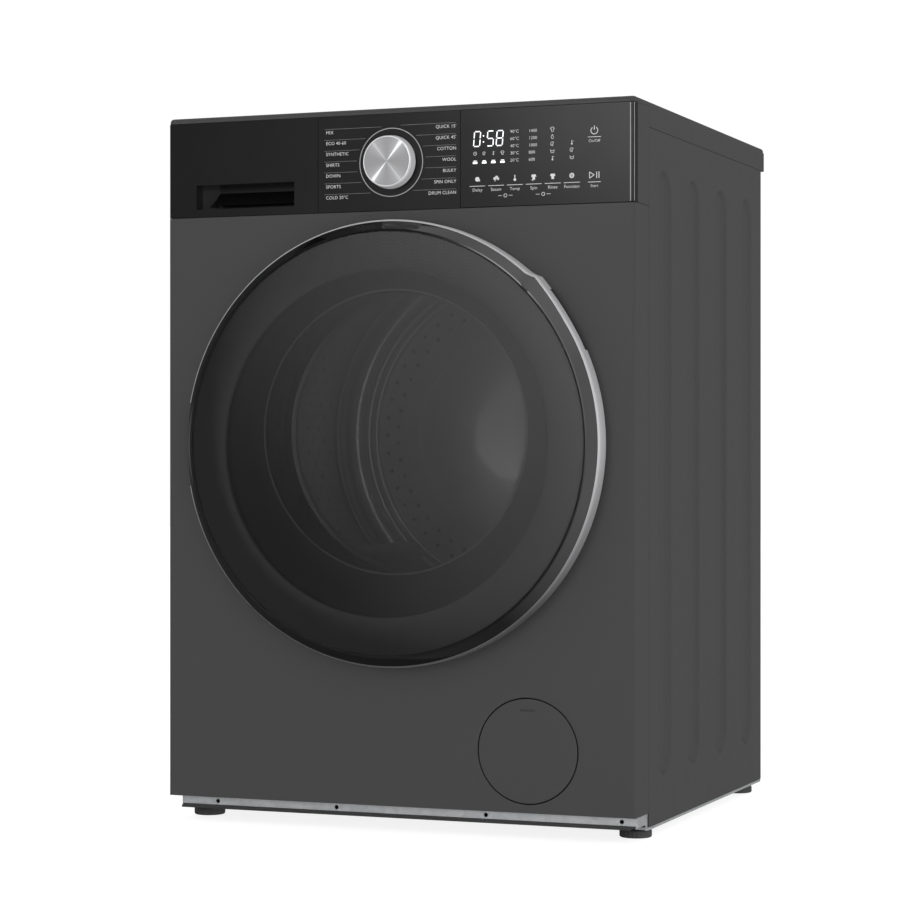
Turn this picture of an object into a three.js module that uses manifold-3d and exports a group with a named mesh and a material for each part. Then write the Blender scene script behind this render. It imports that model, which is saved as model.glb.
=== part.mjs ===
// Front load washing machine, built as an assembly of separate parts.
//
// Units are millimetres and +Z is up. The machine stands on Z = 0 and faces -Y. Inside this file Y is
// a depth: 0 is the outer face of the front panel, negative is in front of it, positive is behind it.
// The finished group is moved so that the whole machine is centred over the origin.
import * as THREE from "three";
import { mergeVertices } from "three/addons/utils/BufferGeometryUtils.js";
import Module from "manifold-3d";

const wasm = await Module();
wasm.setup();

// ---------------------------------------------------------------- driving dimensions

const WIDTH = 595; // over the side panels
const HEIGHT = 853; // 850 with the feet screwed right in, plus 3 of levelling
const TOP_DEPTH = 568; // front edge to rear edge of the top plate
const BODY_DEPTH = 551; // front panel to rear panel
const DOOR_PROUD = 38; // how far the door stands in front of the panel

const HALF = WIDTH / 2;
const SHEET = 1.2; // steel sheet
const GAP = 0.3; // between parts that lie against each other
const ROUND = 24; // sides of a large circle
const DOOR_ROUND = 32; // and of the door's outer ring

// Front of the cabinet.
const PANEL_BOTTOM = 30;
const PANEL_TOP = 731.4;
const FASCIA_BOTTOM = 732;
const FASCIA_TOP = 846.1;
const TOP_UNDERSIDE = 846.4;
const SKIRT_BOTTOM = 822.6;
const RETURN_DEPTH = 50; // how far the front panel folds back along each side
const CORNER_R = 4; // vertical front edges
const FASCIA_T = 3.5;
const SEAM_LEFT = -98.3; // between drawer front and dial panel
const SEAM_RIGHT = 83.3; // between dial panel and display panel

// Door. Its own centre is a little lower than the drum's.
const DOOR_Z = 457;
const DRUM_Z = 471;
const BOWL_UP = DRUM_Z - DOOR_Z;
const RECESS_R = 237; // pressed ring in the front panel that the door sits in
const RECESS_D = 12;
const OPENING_R = 186; // loading hole
const RING_R = 262;
const COVER_R = 247.9;
const HINGE_X = -252; // vertical hinge axis, inside the thickness of the ring
const HINGE_D = -18;
const HINGE_HALF = 40; // half height of the hinge
const LATCH_X = 216;

// Tub and drum, which share one axis along Y.
const TUB_R = 262;
const TUB_WALL = 3;
const TUB_FRONT_D = 69;
const TUB_SPLIT_D = 252;
const TUB_REAR_D = 458;
const DRUM_R = 241.2;
const DRUM_OPENING_R = 168.2;
const SHAFT_R = 15;
const PULLEY_R = 140;
const MOTOR_PULLEY_R = 12;
const MOTOR_DROP = 353; // motor axis below drum axis
const BELT_D = [509, 521];
const SPRING_X = 215;
const SPRING_D = 330;
const DAMPER_X = 150;
const DAMPER_D = 215;

// Controls and drawer.
const DIAL_X = -4;
const DIAL_Z = 788.7;
const KNOB_R = 31;
const KNOB_PROUD = 14.5;
const TRAY_X = [-281, -114];
const TRAY_DEPTH = 285;
const HANDLE = { x: [-260.3, -129.6], z: [741.4, 770.7], depth: 25 };

// Pump filter behind its round hatch.
const HATCH_X = 166.9;
const HATCH_Z = 101.6;
const HATCH_R = 60.5;
const HATCH_RECESS_D = 14;
const HATCH_GAP = 1.4;
const HATCH_HINGE_DROP = 59.2; // hinge axis below the hatch's centre
const HATCH_HINGE_D = 1;

// Feet and base.
const FOOT_X = 276;
const FOOT_D = [68, 512];
const FOOT_R = 19;
const BASE_TOP = 29.5;
const BASE_FRONT_D = 12; // the base stands back from the front panel
const SIDE_BOTTOM = 14;

// Rear connections.
const FILL_PORT = [-200, 225]; // x and depth of the hose between dispenser and tub
const SUMP_PORT = [160, 95]; // and of the hose between tub and pump
const INLET = [-235, 790];
const OUTLET = [240, 700];
const GLAND = [240, 120];

// ---------------------------------------------------------------- materials

const material = (color, roughness, metalness = 0, opacity = 1) =>
  new THREE.MeshStandardMaterial({ color, roughness, metalness, opacity, transparent: opacity < 1 });

const PAINT = material(0x494949, 0.45, 0.1);
const FASCIA = material(0x262626, 0.25);
const GLOSS_BLACK = material(0x0c0c0c, 0.08);
const BLACK_PLASTIC = material(0x1c1c1c, 0.5);
const GREY_PLASTIC = material(0x8d8f90, 0.55);
const TINTED = material(0x17181a, 0.05, 0, 0.6);
const GLASS = material(0xd8e0e2, 0.03, 0, 0.35);
const STAINLESS = material(0xb9bcbd, 0.28, 1);
const ALUMINIUM = material(0xa9abac, 0.4, 1);
const ZINC = material(0xa2a5a6, 0.4, 0.9);
const RUBBER = material(0x5b5e60, 0.8);
const BLACK_RUBBER = material(0x171717, 0.85);
const CONCRETE = material(0x8b8880, 0.95);
const BOARD = material(0x1f5a35, 0.6);
const STEEL = material(0x6f7274, 0.45, 0.9);

// ---------------------------------------------------------------- making solids

// A closed geometry as a solid that can be cut and joined. A profile may run either way round.
function solid(geometry) {
  const loose = geometry.index ? geometry.toNonIndexed() : geometry;
  const bare = new THREE.BufferGeometry().setAttribute("position", loose.getAttribute("position"));
  const merged = mergeVertices(bare, 1e-4);
  const corners = merged.index.array;
  const kept = [];
  for (let i = 0; i < corners.length; i += 3) {
    const [a, b, c] = [corners[i], corners[i + 1], corners[i + 2]];
    if (a !== b && b !== c && a !== c) kept.push(a, b, c);
  }
  const vertProperties = new Float32Array(merged.getAttribute("position").array);
  const make = (triVerts) => new wasm.Manifold(new wasm.Mesh({ numProp: 3, vertProperties, triVerts }));
  const made = make(new Uint32Array(kept));
  return made.volume() > 0 ? made : make(new Uint32Array(kept.reverse()));
}

// The solid's surface as a three.js geometry.
function geometryOf(made) {
  const { numProp, numVert, vertProperties, triVerts } = made.getMesh();
  const position = new Float32Array(numVert * 3);
  for (let i = 0; i < numVert; i++) {
    position.set(vertProperties.subarray(i * numProp, i * numProp + 3), i * 3);
  }
  const geometry = new THREE.BufferGeometry();
  geometry.setAttribute("position", new THREE.BufferAttribute(position, 3));
  geometry.setIndex(new THREE.BufferAttribute(triVerts, 1));
  geometry.computeVertexNormals();
  return geometry;
}

const join = (first, ...rest) => rest.reduce((made, next) => made.add(next), first);
const cut = (first, ...rest) => rest.reduce((made, next) => made.subtract(next), first);

function box([x0, x1], [y0, y1], [z0, z1]) {
  const geometry = new THREE.BoxGeometry(x1 - x0, y1 - y0, z1 - z0);
  return solid(geometry.translate((x0 + x1) / 2, (y0 + y1) / 2, (z0 + z1) / 2));
}

// A round bar along Y, through x and z.
function barY(radius, [y0, y1], x = 0, z = 0, sides = 14) {
  const geometry = new THREE.CylinderGeometry(radius, radius, y1 - y0, sides);
  return solid(geometry.translate(x, (y0 + y1) / 2, z));
}

// A round bar along Z, through x and y.
function barZ(radius, [z0, z1], x = 0, y = 0, sides = 12) {
  const geometry = new THREE.CylinderGeometry(radius, radius, z1 - z0, sides);
  return solid(geometry.rotateX(Math.PI / 2).translate(x, y, (z0 + z1) / 2));
}

// A round bar along X, through y and z.
function barX(radius, [x0, x1], y, z, sides = 10) {
  const geometry = new THREE.CylinderGeometry(radius, radius, x1 - x0, sides);
  return solid(geometry.rotateZ(Math.PI / 2).translate((x0 + x1) / 2, y, z));
}

// A profile of [radius, depth] turned about the Y axis through x and z.
function turned(profile, x = 0, z = 0, sides = ROUND) {
  const points = profile.map(([r, d]) => new THREE.Vector2(r, d));
  const onAxis = profile[0][0] === 0;
  if (!onAxis) points.push(points[0].clone());
  return solid(new THREE.LatheGeometry(points, sides).translate(x, 0, z));
}

// A closed ring whose profile points are [radius, depth, rise]: rise lifts that point's circle off the axis.
// swell(angle, point) adds to a point's radius, so a ring can bulge or narrow on its way round.
function ring(profile, sides, swell = () => 0) {
  const position = [];
  const index = [];
  const n = profile.length;
  for (let i = 0; i < sides; i++) {
    const angle = (2 * Math.PI * i) / sides;
    profile.forEach(([r, d, rise = 0], j) => {
      const radius = r + swell(angle, j);
      position.push(radius * Math.cos(angle), d, rise + radius * Math.sin(angle));
      const [a, b] = [i * n + j, i * n + ((j + 1) % n)];
      const [c, e] = [((i + 1) % sides) * n + j, ((i + 1) % sides) * n + ((j + 1) % n)];
      index.push(a, b, c, b, e, c);
    });
  }
  const geometry = new THREE.BufferGeometry();
  geometry.setAttribute("position", new THREE.Float32BufferAttribute(position, 3));
  return solid(geometry.setIndex(index));
}

const shapeOf = (points) => new THREE.Shape(points.map(([a, b]) => new THREE.Vector2(a, b)));

// Outlines swept straight: plan outlines up Z, front outlines (x, z) along Y, side outlines (y, z) along X.
function upZ(shape, [z0, z1], curveSegments = 4) {
  const made = new THREE.ExtrudeGeometry(shape, { depth: z1 - z0, bevelEnabled: false, curveSegments });
  return solid(made.translate(0, 0, z0));
}

function alongY(shape, [y0, y1], curveSegments = 4) {
  const made = new THREE.ExtrudeGeometry(shape, { depth: y1 - y0, bevelEnabled: false, curveSegments });
  return solid(made.rotateX(Math.PI / 2).translate(0, y1, 0));
}

function alongX(shape, [x0, x1], curveSegments = 3) {
  const made = new THREE.ExtrudeGeometry(shape, { depth: x1 - x0, bevelEnabled: false, curveSegments });
  return solid(made.rotateX(Math.PI / 2).rotateZ(Math.PI / 2).translate(x0, 0, 0));
}

// A round tube of constant section along a curve.
function tube(points, radius, sides, steps, bore = 0) {
  const section = new THREE.Shape().absarc(0, 0, radius, 0, 2 * Math.PI);
  if (bore > 0) section.holes.push(new THREE.Path().absarc(0, 0, bore, 0, 2 * Math.PI, true));
  const extrudePath = new THREE.CatmullRomCurve3(points.map((p) => new THREE.Vector3(...p)));
  return solid(new THREE.ExtrudeGeometry(section, { steps, curveSegments: sides, extrudePath }));
}

function roundedRect([x0, x1], [z0, z1], r) {
  const shape = new THREE.Shape();
  shape.moveTo(x0 + r, z0).lineTo(x1 - r, z0).absarc(x1 - r, z0 + r, r, -Math.PI / 2, 0);
  shape.lineTo(x1, z1 - r).absarc(x1 - r, z1 - r, r, 0, Math.PI / 2);
  shape.lineTo(x0 + r, z1).absarc(x0 + r, z1 - r, r, Math.PI / 2, Math.PI);
  return shape.lineTo(x0, z0 + r).absarc(x0 + r, z0 + r, r, Math.PI, 1.5 * Math.PI);
}

// A slot with round ends, standing upright: middle line at a, from z0 to z1, 2 * half wide.
function uprightSlot(a, half, z0, z1) {
  const shape = new THREE.Shape();
  shape.moveTo(a + half, z0 + half).lineTo(a + half, z1 - half);
  shape.absarc(a, z1 - half, half, 0, Math.PI).lineTo(a - half, z0 + half);
  return shape.absarc(a, z0 + half, half, Math.PI, 2 * Math.PI);
}

function part(name, made, finish, parent) {
  const mesh = new THREE.Mesh(geometryOf(made), finish);
  mesh.name = name;
  parent.add(mesh);
  return mesh;
}

function group(parent, x = 0, y = 0, z = 0) {
  const made = new THREE.Group();
  made.position.set(x, y, z);
  parent.add(made);
  return made;
}

// ---------------------------------------------------------------- cabinet

// Plan of a sheet that folds back round both front corners.
function foldedPlan(depth, thickness) {
  const inner = CORNER_R - thickness;
  const bend = HALF - CORNER_R;
  const shape = new THREE.Shape();
  shape.moveTo(-HALF, depth).lineTo(-HALF, CORNER_R);
  shape.absarc(-bend, CORNER_R, CORNER_R, Math.PI, 1.5 * Math.PI);
  shape.lineTo(bend, 0).absarc(bend, CORNER_R, CORNER_R, -Math.PI / 2, 0).lineTo(HALF, depth);
  shape.lineTo(HALF - thickness, depth).lineTo(HALF - thickness, CORNER_R);
  shape.absarc(bend, CORNER_R, inner, 0, -Math.PI / 2, true).lineTo(-bend, thickness);
  shape.absarc(-bend, CORNER_R, inner, 1.5 * Math.PI, Math.PI, true);
  return shape.lineTo(-HALF + thickness, depth);
}

// The panel has a shallow pressed ring for the door, a lipped loading hole and a pressed cup for the hatch.
function frontPanel() {
  const lip = 14;
  const inside = [-HALF + SHEET, HALF - SHEET];
  const hatchHole = HATCH_R + HATCH_GAP;
  const filterHole = 40;
  const pressed = join(
    upZ(foldedPlan(RETURN_DEPTH, SHEET), [PANEL_BOTTOM, PANEL_TOP]),
    box(inside, [0.5, lip], [PANEL_BOTTOM, PANEL_BOTTOM + SHEET]),
    box(inside, [0.5, lip], [PANEL_TOP - SHEET, PANEL_TOP]),
    barY(RECESS_R + SHEET, [0, RECESS_D + SHEET], 0, DOOR_Z, ROUND),
    barY(hatchHole + SHEET, [0, HATCH_RECESS_D + SHEET], HATCH_X, HATCH_Z, ROUND),
  );
  const hollowed = cut(
    pressed,
    barY(RECESS_R, [-1, RECESS_D], 0, DOOR_Z, ROUND),
    barY(hatchHole, [-1, HATCH_RECESS_D], HATCH_X, HATCH_Z, ROUND),
  );
  const openingLip = barY(OPENING_R + SHEET, [RECESS_D - 5, RECESS_D + SHEET], 0, DRUM_Z, ROUND);
  const lipped = join(hollowed, openingLip);
  return cut(
    lipped,
    barY(OPENING_R, [-1, 30], 0, DRUM_Z, ROUND),
    barY(filterHole, [-1, 30], HATCH_X, HATCH_Z, 20),
    box([203, 232], [RECESS_D - 1, 30], [DOOR_Z - 9, DOOR_Z + 9]),
  );
}

// Right side panel: flat sheet with folded edges and four upright channels pressed inwards.
function sidePanel() {
  const channelHalf = 29;
  const channelDeep = 3;
  const channels = [0, 1, 2, 3].map((i) => 112 + 121.3 * i);
  const z = [SIDE_BOTTOM, SKIRT_BOTTOM - 0.4];
  const front = RETURN_DEPTH + 0.4;
  let sheet = join(
    box([HALF - SHEET, HALF], [front, BODY_DEPTH], z),
    box([HALF - 8, HALF - 0.5], [front, front + SHEET], [BASE_TOP + 1, z[1]]),
    box([HALF - 8, HALF - 0.5], [front, BODY_DEPTH - 2], [z[1] - SHEET, z[1]]),
  );
  for (const a of channels) {
    const bulge = uprightSlot(a, channelHalf + SHEET, 66, 780);
    sheet = join(sheet, alongX(bulge, [HALF - channelDeep - SHEET, HALF - 0.5]));
  }
  for (const a of channels) {
    sheet = cut(sheet, alongX(uprightSlot(a, channelHalf, 67, 779), [HALF - channelDeep, HALF + 1]));
  }
  return sheet;
}

// One sheet, pressed out behind the drum's pulley.
function rearPanel() {
  const transitBolts = [-1, 1].flatMap((sx) => [-1, 1].map((sz) => [165 * sx, DRUM_Z + 150 * sz]));
  const depth = [BODY_DEPTH - 5, BODY_DEPTH + 9];
  const d = BODY_DEPTH;
  const tall = [SIDE_BOTTOM, SKIRT_BOTTOM - 0.4];
  const sheet = box([-HALF + 1.6, HALF - 1.6], [d - SHEET, d], tall);
  const hollow = [[0, d + 6.5], [149, d + 6.5], [161, d - 2], [0, d - 2]];
  const bulge = [[0, d + 7.7], [150, d + 7.7], [164, d - 1], [0, d - 1]];
  return cut(
    join(sheet, turned(bulge, 0, DRUM_Z, ROUND)),
    turned(hollow, 0, DRUM_Z, ROUND),
    barY(16, depth, ...INLET),
    barY(12, depth, ...OUTLET),
    barY(8.5, depth, ...GLAND),
    ...transitBolts.map(([x, z]) => barY(11, depth, x, z, 10)),
  );
}

// Top plate with a softened long edge and a skirt down both sides and the back.
function topPlate() {
  const r = 5;
  const outline = new THREE.Shape();
  outline.moveTo(-HALF, TOP_UNDERSIDE).lineTo(HALF, TOP_UNDERSIDE).lineTo(HALF, HEIGHT - r);
  outline.absarc(HALF - r, HEIGHT - r, r, 0, Math.PI / 2).lineTo(-HALF + r, HEIGHT);
  outline.absarc(-HALF + r, HEIGHT - r, r, Math.PI / 2, Math.PI);
  const wall = 2.2;
  const skirt = [SKIRT_BOTTOM, TOP_UNDERSIDE + 1];
  const side = [RETURN_DEPTH + 0.4, TOP_DEPTH];
  const inside = [-HALF + wall, HALF - wall];
  const hollow = box(inside, [wall, TOP_DEPTH - wall], [TOP_UNDERSIDE - 1, HEIGHT - 1.5]);
  return join(
    cut(alongY(outline, [0, TOP_DEPTH]), hollow),
    box([HALF - wall, HALF], side, skirt),
    box([-HALF, -HALF + wall], side, skirt),
    box([-HALF + 1, HALF - 1], [TOP_DEPTH - wall, TOP_DEPTH], skirt),
  );
}

// Folded channel round the bottom, with a plate and a welded nut for each foot.
function baseFrame() {
  const railX = 287;
  const innerX = HALF - 1.6;
  const back = BODY_DEPTH - 1.6;
  const rail = [17.5, BASE_TOP];
  let frame = join(
    box([-railX - 1, railX + 1], [BASE_FRONT_D, 30], rail),
    box([-railX - 1, railX + 1], [back - 19, back], rail),
  );
  frame = cut(
    frame,
    box([-railX - 2, railX + 2], [BASE_FRONT_D + 1.5, 31], [19, 28]),
    box([-railX - 2, railX + 2], [back - 20, back - 1.5], [19, 28]),
  );
  for (const s of [-1, 1]) {
    const span = (a, b) => (s > 0 ? [a, b] : [-b, -a]);
    frame = join(
      frame,
      box(span(innerX - 1.5, innerX), [BASE_FRONT_D, back], [10.5, BASE_TOP]),
      box(span(railX, innerX), [BASE_FRONT_D, back], [BASE_TOP - 1.5, BASE_TOP]),
      box(span(railX, HALF - 0.1), [RETURN_DEPTH + 0.4, back], [10.5, 13.6]),
      box(span(255, innerX), [BASE_FRONT_D, 95], [17.5, 20.5]),
      box(span(255, innerX), [485, back], [17.5, 20.5]),
      ...FOOT_D.map((d) => barZ(9, [20, 28], s * FOOT_X, d, 6)),
    );
    frame = cut(frame, ...FOOT_D.map((d) => barZ(5.4, [0, 40], s * FOOT_X, d, 10)));
  }
  return frame;
}

// Bottom tray, with a clevis and pin for the lower end of each damper.
function basePan() {
  const plate = box([-286.6, 286.6], [BASE_FRONT_D + 1, 545], [14.4, 17.2]);
  const holes = [-1, 1].flatMap((s) => FOOT_D.map((d) => barZ(13, [10, 20], s * FOOT_X, d, 10)));
  const clevises = [-1, 1].flatMap((s) => {
    const x = [s * DAMPER_X - 9, s * DAMPER_X + 9];
    return [
      box(x, [DAMPER_D - 10, DAMPER_D - 5], [17, 40.5]),
      box(x, [DAMPER_D + 5, DAMPER_D + 10], [17, 40.5]),
      barY(4, [DAMPER_D - 10, DAMPER_D + 10], s * DAMPER_X, 33, 8),
    ];
  });
  return join(cut(plate, ...holes), ...clevises);
}

// Beam under the top plate that the two suspension springs hang from.
function crossBeam() {
  const x = [-HALF + 1.6, HALF - 1.6];
  const lug = (s) => box([s * SPRING_X - 2, s * SPRING_X + 2], [SPRING_D - 8, SPRING_D + 8], [790, 808]);
  const channel = cut(box(x, [318, 342], [806, 820]), box(x, [320, 340], [808, 821]));
  return join(channel, lug(-1), lug(1));
}

function foot() {
  const pad = [[0, 0], [FOOT_R, 0], [FOOT_R, 8.4], [FOOT_R - 1.5, 9.6], [5, 9.6], [5, 40], [0, 40]];
  const points = pad.map(([r, z]) => new THREE.Vector2(r, z));
  const turnedFoot = solid(new THREE.LatheGeometry(points, 12).rotateX(Math.PI / 2));
  return join(turnedFoot, barZ(10, [10.4, 15.6], 0, 0, 6));
}

// ---------------------------------------------------------------- control panel and drawer

// Carrier behind the fascia, with the hole that the drawer runs through and a window for the board.
function controlHousing() {
  const wall = 1.8;
  const front = 8.4;
  const z = [FASCIA_BOTTOM - 0.2, FASCIA_TOP];
  return cut(
    box([-HALF, HALF], [front, RETURN_DEPTH], z),
    box([-HALF + wall, HALF - wall], [front + 2, 60], [z[0] + wall, z[1] - wall]),
    box([-291, -105], [0, 20], [735.5, 842.5]),
    box([-60, 270], [0, 20], [748, 832]),
  );
}

// Fascia plate whose outer end curls back round the cabinet's corner, with two stiffening ribs behind.
function fasciaPlate(from, side) {
  const r = CORNER_R;
  const end = HALF;
  const [a0, a1] = [-Math.PI / 2, 0];
  const plan = new THREE.Shape();
  plan.moveTo(from, 0).lineTo(end - r, 0).absarc(end - r, r, r, a0, a1).lineTo(end, 8.1);
  plan.lineTo(end - FASCIA_T, 8.1).lineTo(end - FASCIA_T, r).absarc(end - r, r, r - FASCIA_T, a1, a0, true);
  plan.lineTo(from, FASCIA_T);
  const ribX = [from + 3, end - r - 2];
  const made = join(
    upZ(plan, [FASCIA_BOTTOM, FASCIA_TOP]),
    box(ribX, [FASCIA_T - 0.5, 8], [FASCIA_BOTTOM + 1, FASCIA_BOTTOM + 3]),
    box(ribX, [FASCIA_T - 0.5, 8], [FASCIA_TOP - 3, FASCIA_TOP - 1]),
  );
  return side > 0 ? made : solid(geometryOf(made).scale(-1, 1, 1));
}

function dialPanel() {
  const x = [SEAM_LEFT + 0.3, SEAM_RIGHT - 0.2];
  const ribX = [x[0] + 3, x[1] - 3];
  return cut(
    join(
      box(x, [0, FASCIA_T], [FASCIA_BOTTOM, FASCIA_TOP]),
      box(ribX, [FASCIA_T - 0.5, 8], [FASCIA_BOTTOM + 1, FASCIA_BOTTOM + 3]),
      box(ribX, [FASCIA_T - 0.5, 8], [FASCIA_TOP - 3, FASCIA_TOP - 1]),
    ),
    barY(4, [-1, 10], DIAL_X, DIAL_Z, 16),
  );
}

// Circuit board with the display module, the dial's encoder and a row of tall components.
function controlBoard() {
  const face = [20, 21.6];
  const encoder = [DIAL_X - 10, DIAL_X + 10];
  return cut(
    join(
      box([-55, 265], face, [750, 830]),
      box([95, 168], [6, 20.5], [778, 824]),
      box(encoder, [12, 20.5], [DIAL_Z - 10, DIAL_Z + 10]),
      box([180, 255], [14, 20.5], [775, 822]),
      box([200, 240], [21, 44], [765, 815]),
    ),
    barY(3.7, [10, 18.5], DIAL_X, DIAL_Z, 16),
  );
}

function programKnob() {
  const p = KNOB_PROUD;
  const face = [[0, -p], [KNOB_R - 2, -p], [KNOB_R, -p + 2]];
  const back = [[KNOB_R + 0.8, -0.8], [3, -0.8], [3, 17.5], [0, 17.5]];
  return turned([...face, ...back], 0, 0, 24);
}

function dispenserHousing() {
  return cut(
    join(
      box([-288, -107], [12, 300], [734.6, 838]),
      barZ(20, [713, 736], ...FILL_PORT),
    ),
    box([-285.5, -109.5], [0, 297.5], [737, 835.5]),
    barZ(17, [700, 745], ...FILL_PORT),
  );
}

// Fascia piece of the drawer with a scooped pull.
function drawerFront() {
  const { x, z, depth } = HANDLE;
  const wall = 2;
  const pocket = roundedRect(x, z, 4);
  const cup = roundedRect([x[0] - wall, x[1] + wall], [z[0] - wall, z[1] + wall], 6);
  const plate = join(fasciaPlate(-SEAM_LEFT + 0.3, -1), alongY(cup, [1, depth + wall], 3));
  return cut(plate, alongY(pocket, [-5, depth], 3));
}

// Tray with three compartments, hollowed at the front round the pull.
function drawerTray() {
  const [x0, x1] = TRAY_X;
  const floor = 745.5;
  const top = 828;
  const cells = [[x0 + 2.5, -226], [-223.5, -171.5], [-169, x1 - 2.5]];
  const made = cut(
    box(TRAY_X, [FASCIA_T + 5, TRAY_DEPTH], [743, top]),
    box([HANDLE.x[0] - 5, HANDLE.x[1] + 5], [0, HANDLE.depth + 4], [740, 776]),
  );
  return cut(made, ...cells.map((x) => box(x, [HANDLE.depth + 7, TRAY_DEPTH - 2.5], [floor, top + 2])));
}

// ---------------------------------------------------------------- door (about its own centre)

// Where the ring is thickened for the fingers: 0 outside the grip, 1 at its upper end.
function gripSwell(angle) {
  const from = THREE.MathUtils.degToRad(20);
  const to = THREE.MathUtils.degToRad(46);
  const tail = THREE.MathUtils.degToRad(5);
  if (angle < from || angle > to + tail) return 0;
  return angle <= to ? (angle - from) / (to - from) : 1 - (angle - to) / tail;
}

// Outer ring: bevelled front, upright wall and turned-in back edge. The hinge side has a window, and
// the grip has a scoop behind its edge for the fingers.
function doorRing() {
  const wall = [[248.4, -35.4], [260.6, -23.2], [RING_R, -20], [RING_R, -6], [RING_R - 4, -2]];
  const edge = [[250, -2], [250, -5], [258.3, -7], [258.3, -20.4]];
  const seat = [[246.5, -31.4], [236, -31.4], [236, -33.2], [248.4, -33.2]];
  const outerWall = [1, 2, 3, 4];
  const swell = (angle, j) => (outerWall.includes(j) ? 4.5 * gripSwell(angle) ** 3 : 0);
  const made = ring([...wall, ...edge, ...seat], DOOR_ROUND, swell);
  const window = box([-280, -238], [-27, 2], [-HINGE_HALF - 10, HINGE_HALF + 10]);
  const scoop = new THREE.Shape();
  const [a0, a1] = [24, 42].map(THREE.MathUtils.degToRad);
  scoop.absarc(0, 0, 275, a0, a1).absarc(0, 0, 240, a1, a0, true);
  return cut(made, window, alongY(scoop, [-13, 1], 10));
}

function doorCover() {
  const back = -33.7;
  const front = [[202, -36.4], [205, -37.1], [228, -DOOR_PROUD], [244, -37], [COVER_R, -35.6]];
  return turned([[0, -36.4], ...front, [COVER_R, back], [0, back]], 0, 0, DOOR_ROUND);
}

// Black cone behind the cover that leads down to the glass bowl, whose circle is higher than the door's.
function doorFunnel() {
  const up = BOWL_UP;
  const front = [[235, -30.8], [203, -23], [167, -2, up]];
  return ring([...front, [167, 1, up], [172, 1, up], [205.5, -20, 0], [235, -27.8]], ROUND);
}

// Inner frame that closes the back of the door and clamps the bowl's flange.
function doorInnerFrame() {
  const up = BOWL_UP;
  const outside = [[231, -25.4], [231, 8], [228, 10], [207, 10, 10], [199, 4.8, up], [168, 4.8, up]];
  const inside = [[168, 3.8, up], [199.6, 3.8, up], [207.8, 8.6, 10], [227, 8.6]];
  const made = ring([...outside, ...inside, [228.8, 7], [228.8, -25.4]], ROUND);
  return cut(
    made,
    box([-240, -198], [-40, 20], [-HINGE_HALF - 6, HINGE_HALF + 6]),
    box([LATCH_X - 13, LATCH_X + 9], [-2, 20], [-8, 8]),
  );
}

function doorGlass() {
  const inside = [[0, 93], [112, 90], [136, 78], [153, 40], [163, 1.4]];
  const outside = [[173.5, 1.4], [173.5, 3.4], [166.5, 3.6], [156.5, 42], [139, 82], [114, 94], [0, 97]];
  return turned([...inside, ...outside], 0, BOWL_UP, ROUND);
}

// Fixed half of the hinge, bolted in the panel's recess, with the pin pressed into its two eyes.
function hingeBracket() {
  const plan = [[-2, 4.5], [20.5, 17.5], [20.5, 28.5], [25.5, 28.5], [25.5, 12.5], [3.5, 1]];
  const arm = shapeOf(plan.map(([a, b]) => [HINGE_X + a, HINGE_D + b]));
  const eye = 5.5;
  const spans = [[18, HINGE_HALF], [-HINGE_HALF, -18]];
  const arms = spans.flatMap((z) => [upZ(arm, z), barZ(eye, z, HINGE_X, HINGE_D)]);
  const tall = [-HINGE_HALF, HINGE_HALF];
  const plate = box([HINGE_X + 20.5, HINGE_X + 50], [RECESS_D - 2.5, RECESS_D - GAP], tall);
  return join(...arms, plate, barZ(2.6, [-HINGE_HALF - 3, HINGE_HALF + 3], HINGE_X, HINGE_D, 16));
}

// Moving half of the hinge: an eye between the bracket's two, and a leaf behind the funnel.
function hingeArm() {
  const b = [HINGE_D - 1.6, HINGE_D + 1.4];
  const made = join(
    barZ(5.5, [-17.6, 17.6], HINGE_X, HINGE_D),
    box([HINGE_X, HINGE_X + 30], b, [-17, 17]),
    box([HINGE_X + 27.5, HINGE_X + 46], b, [-38, 38]),
  );
  return cut(made, barZ(3.1, [-20, 20], HINGE_X, HINGE_D, 16));
}

// Sprung hook on its pivot, and the barb that the lock catches.
function latchHook() {
  const shank = [LATCH_X - 3, LATCH_X + 3];
  return join(
    box(shank, [2, 34], [-5, 5]),
    box([LATCH_X + 2, LATCH_X + 7], [29, 34], [-5, 5]),
    barZ(3.6, [-6.5, 6.5], LATCH_X, 5, 16),
  );
}

function doorLock() {
  const back = RECESS_D + SHEET + 0.4;
  return cut(
    box([198, 237], [back, 43], [DOOR_Z - 32, DOOR_Z + 32]),
    box([203, 231], [back - 1, 39], [DOOR_Z - 8.5, DOOR_Z + 8.5]),
  );
}

// Rubber bellows from the panel's loading hole to the neck of the tub, with the lip the bowl closes on.
function doorSeal() {
  const collar = [[185, 5], [185, 15], [190, 15], [190, 19], [180, 20]];
  const fold = [[178, 30], [190, 40], [177, 49], [177, 66], [174, 66], [174, 47], [186, 40.5]];
  const lip = [[174.5, 33], [163.5, 31.5], [163, 28], [174.5, 27], [178, 5]];
  return turned([...collar, ...fold, ...lip], 0, DRUM_Z, ROUND);
}

// ---------------------------------------------------------------- tub (about the drum's axis)

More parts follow.
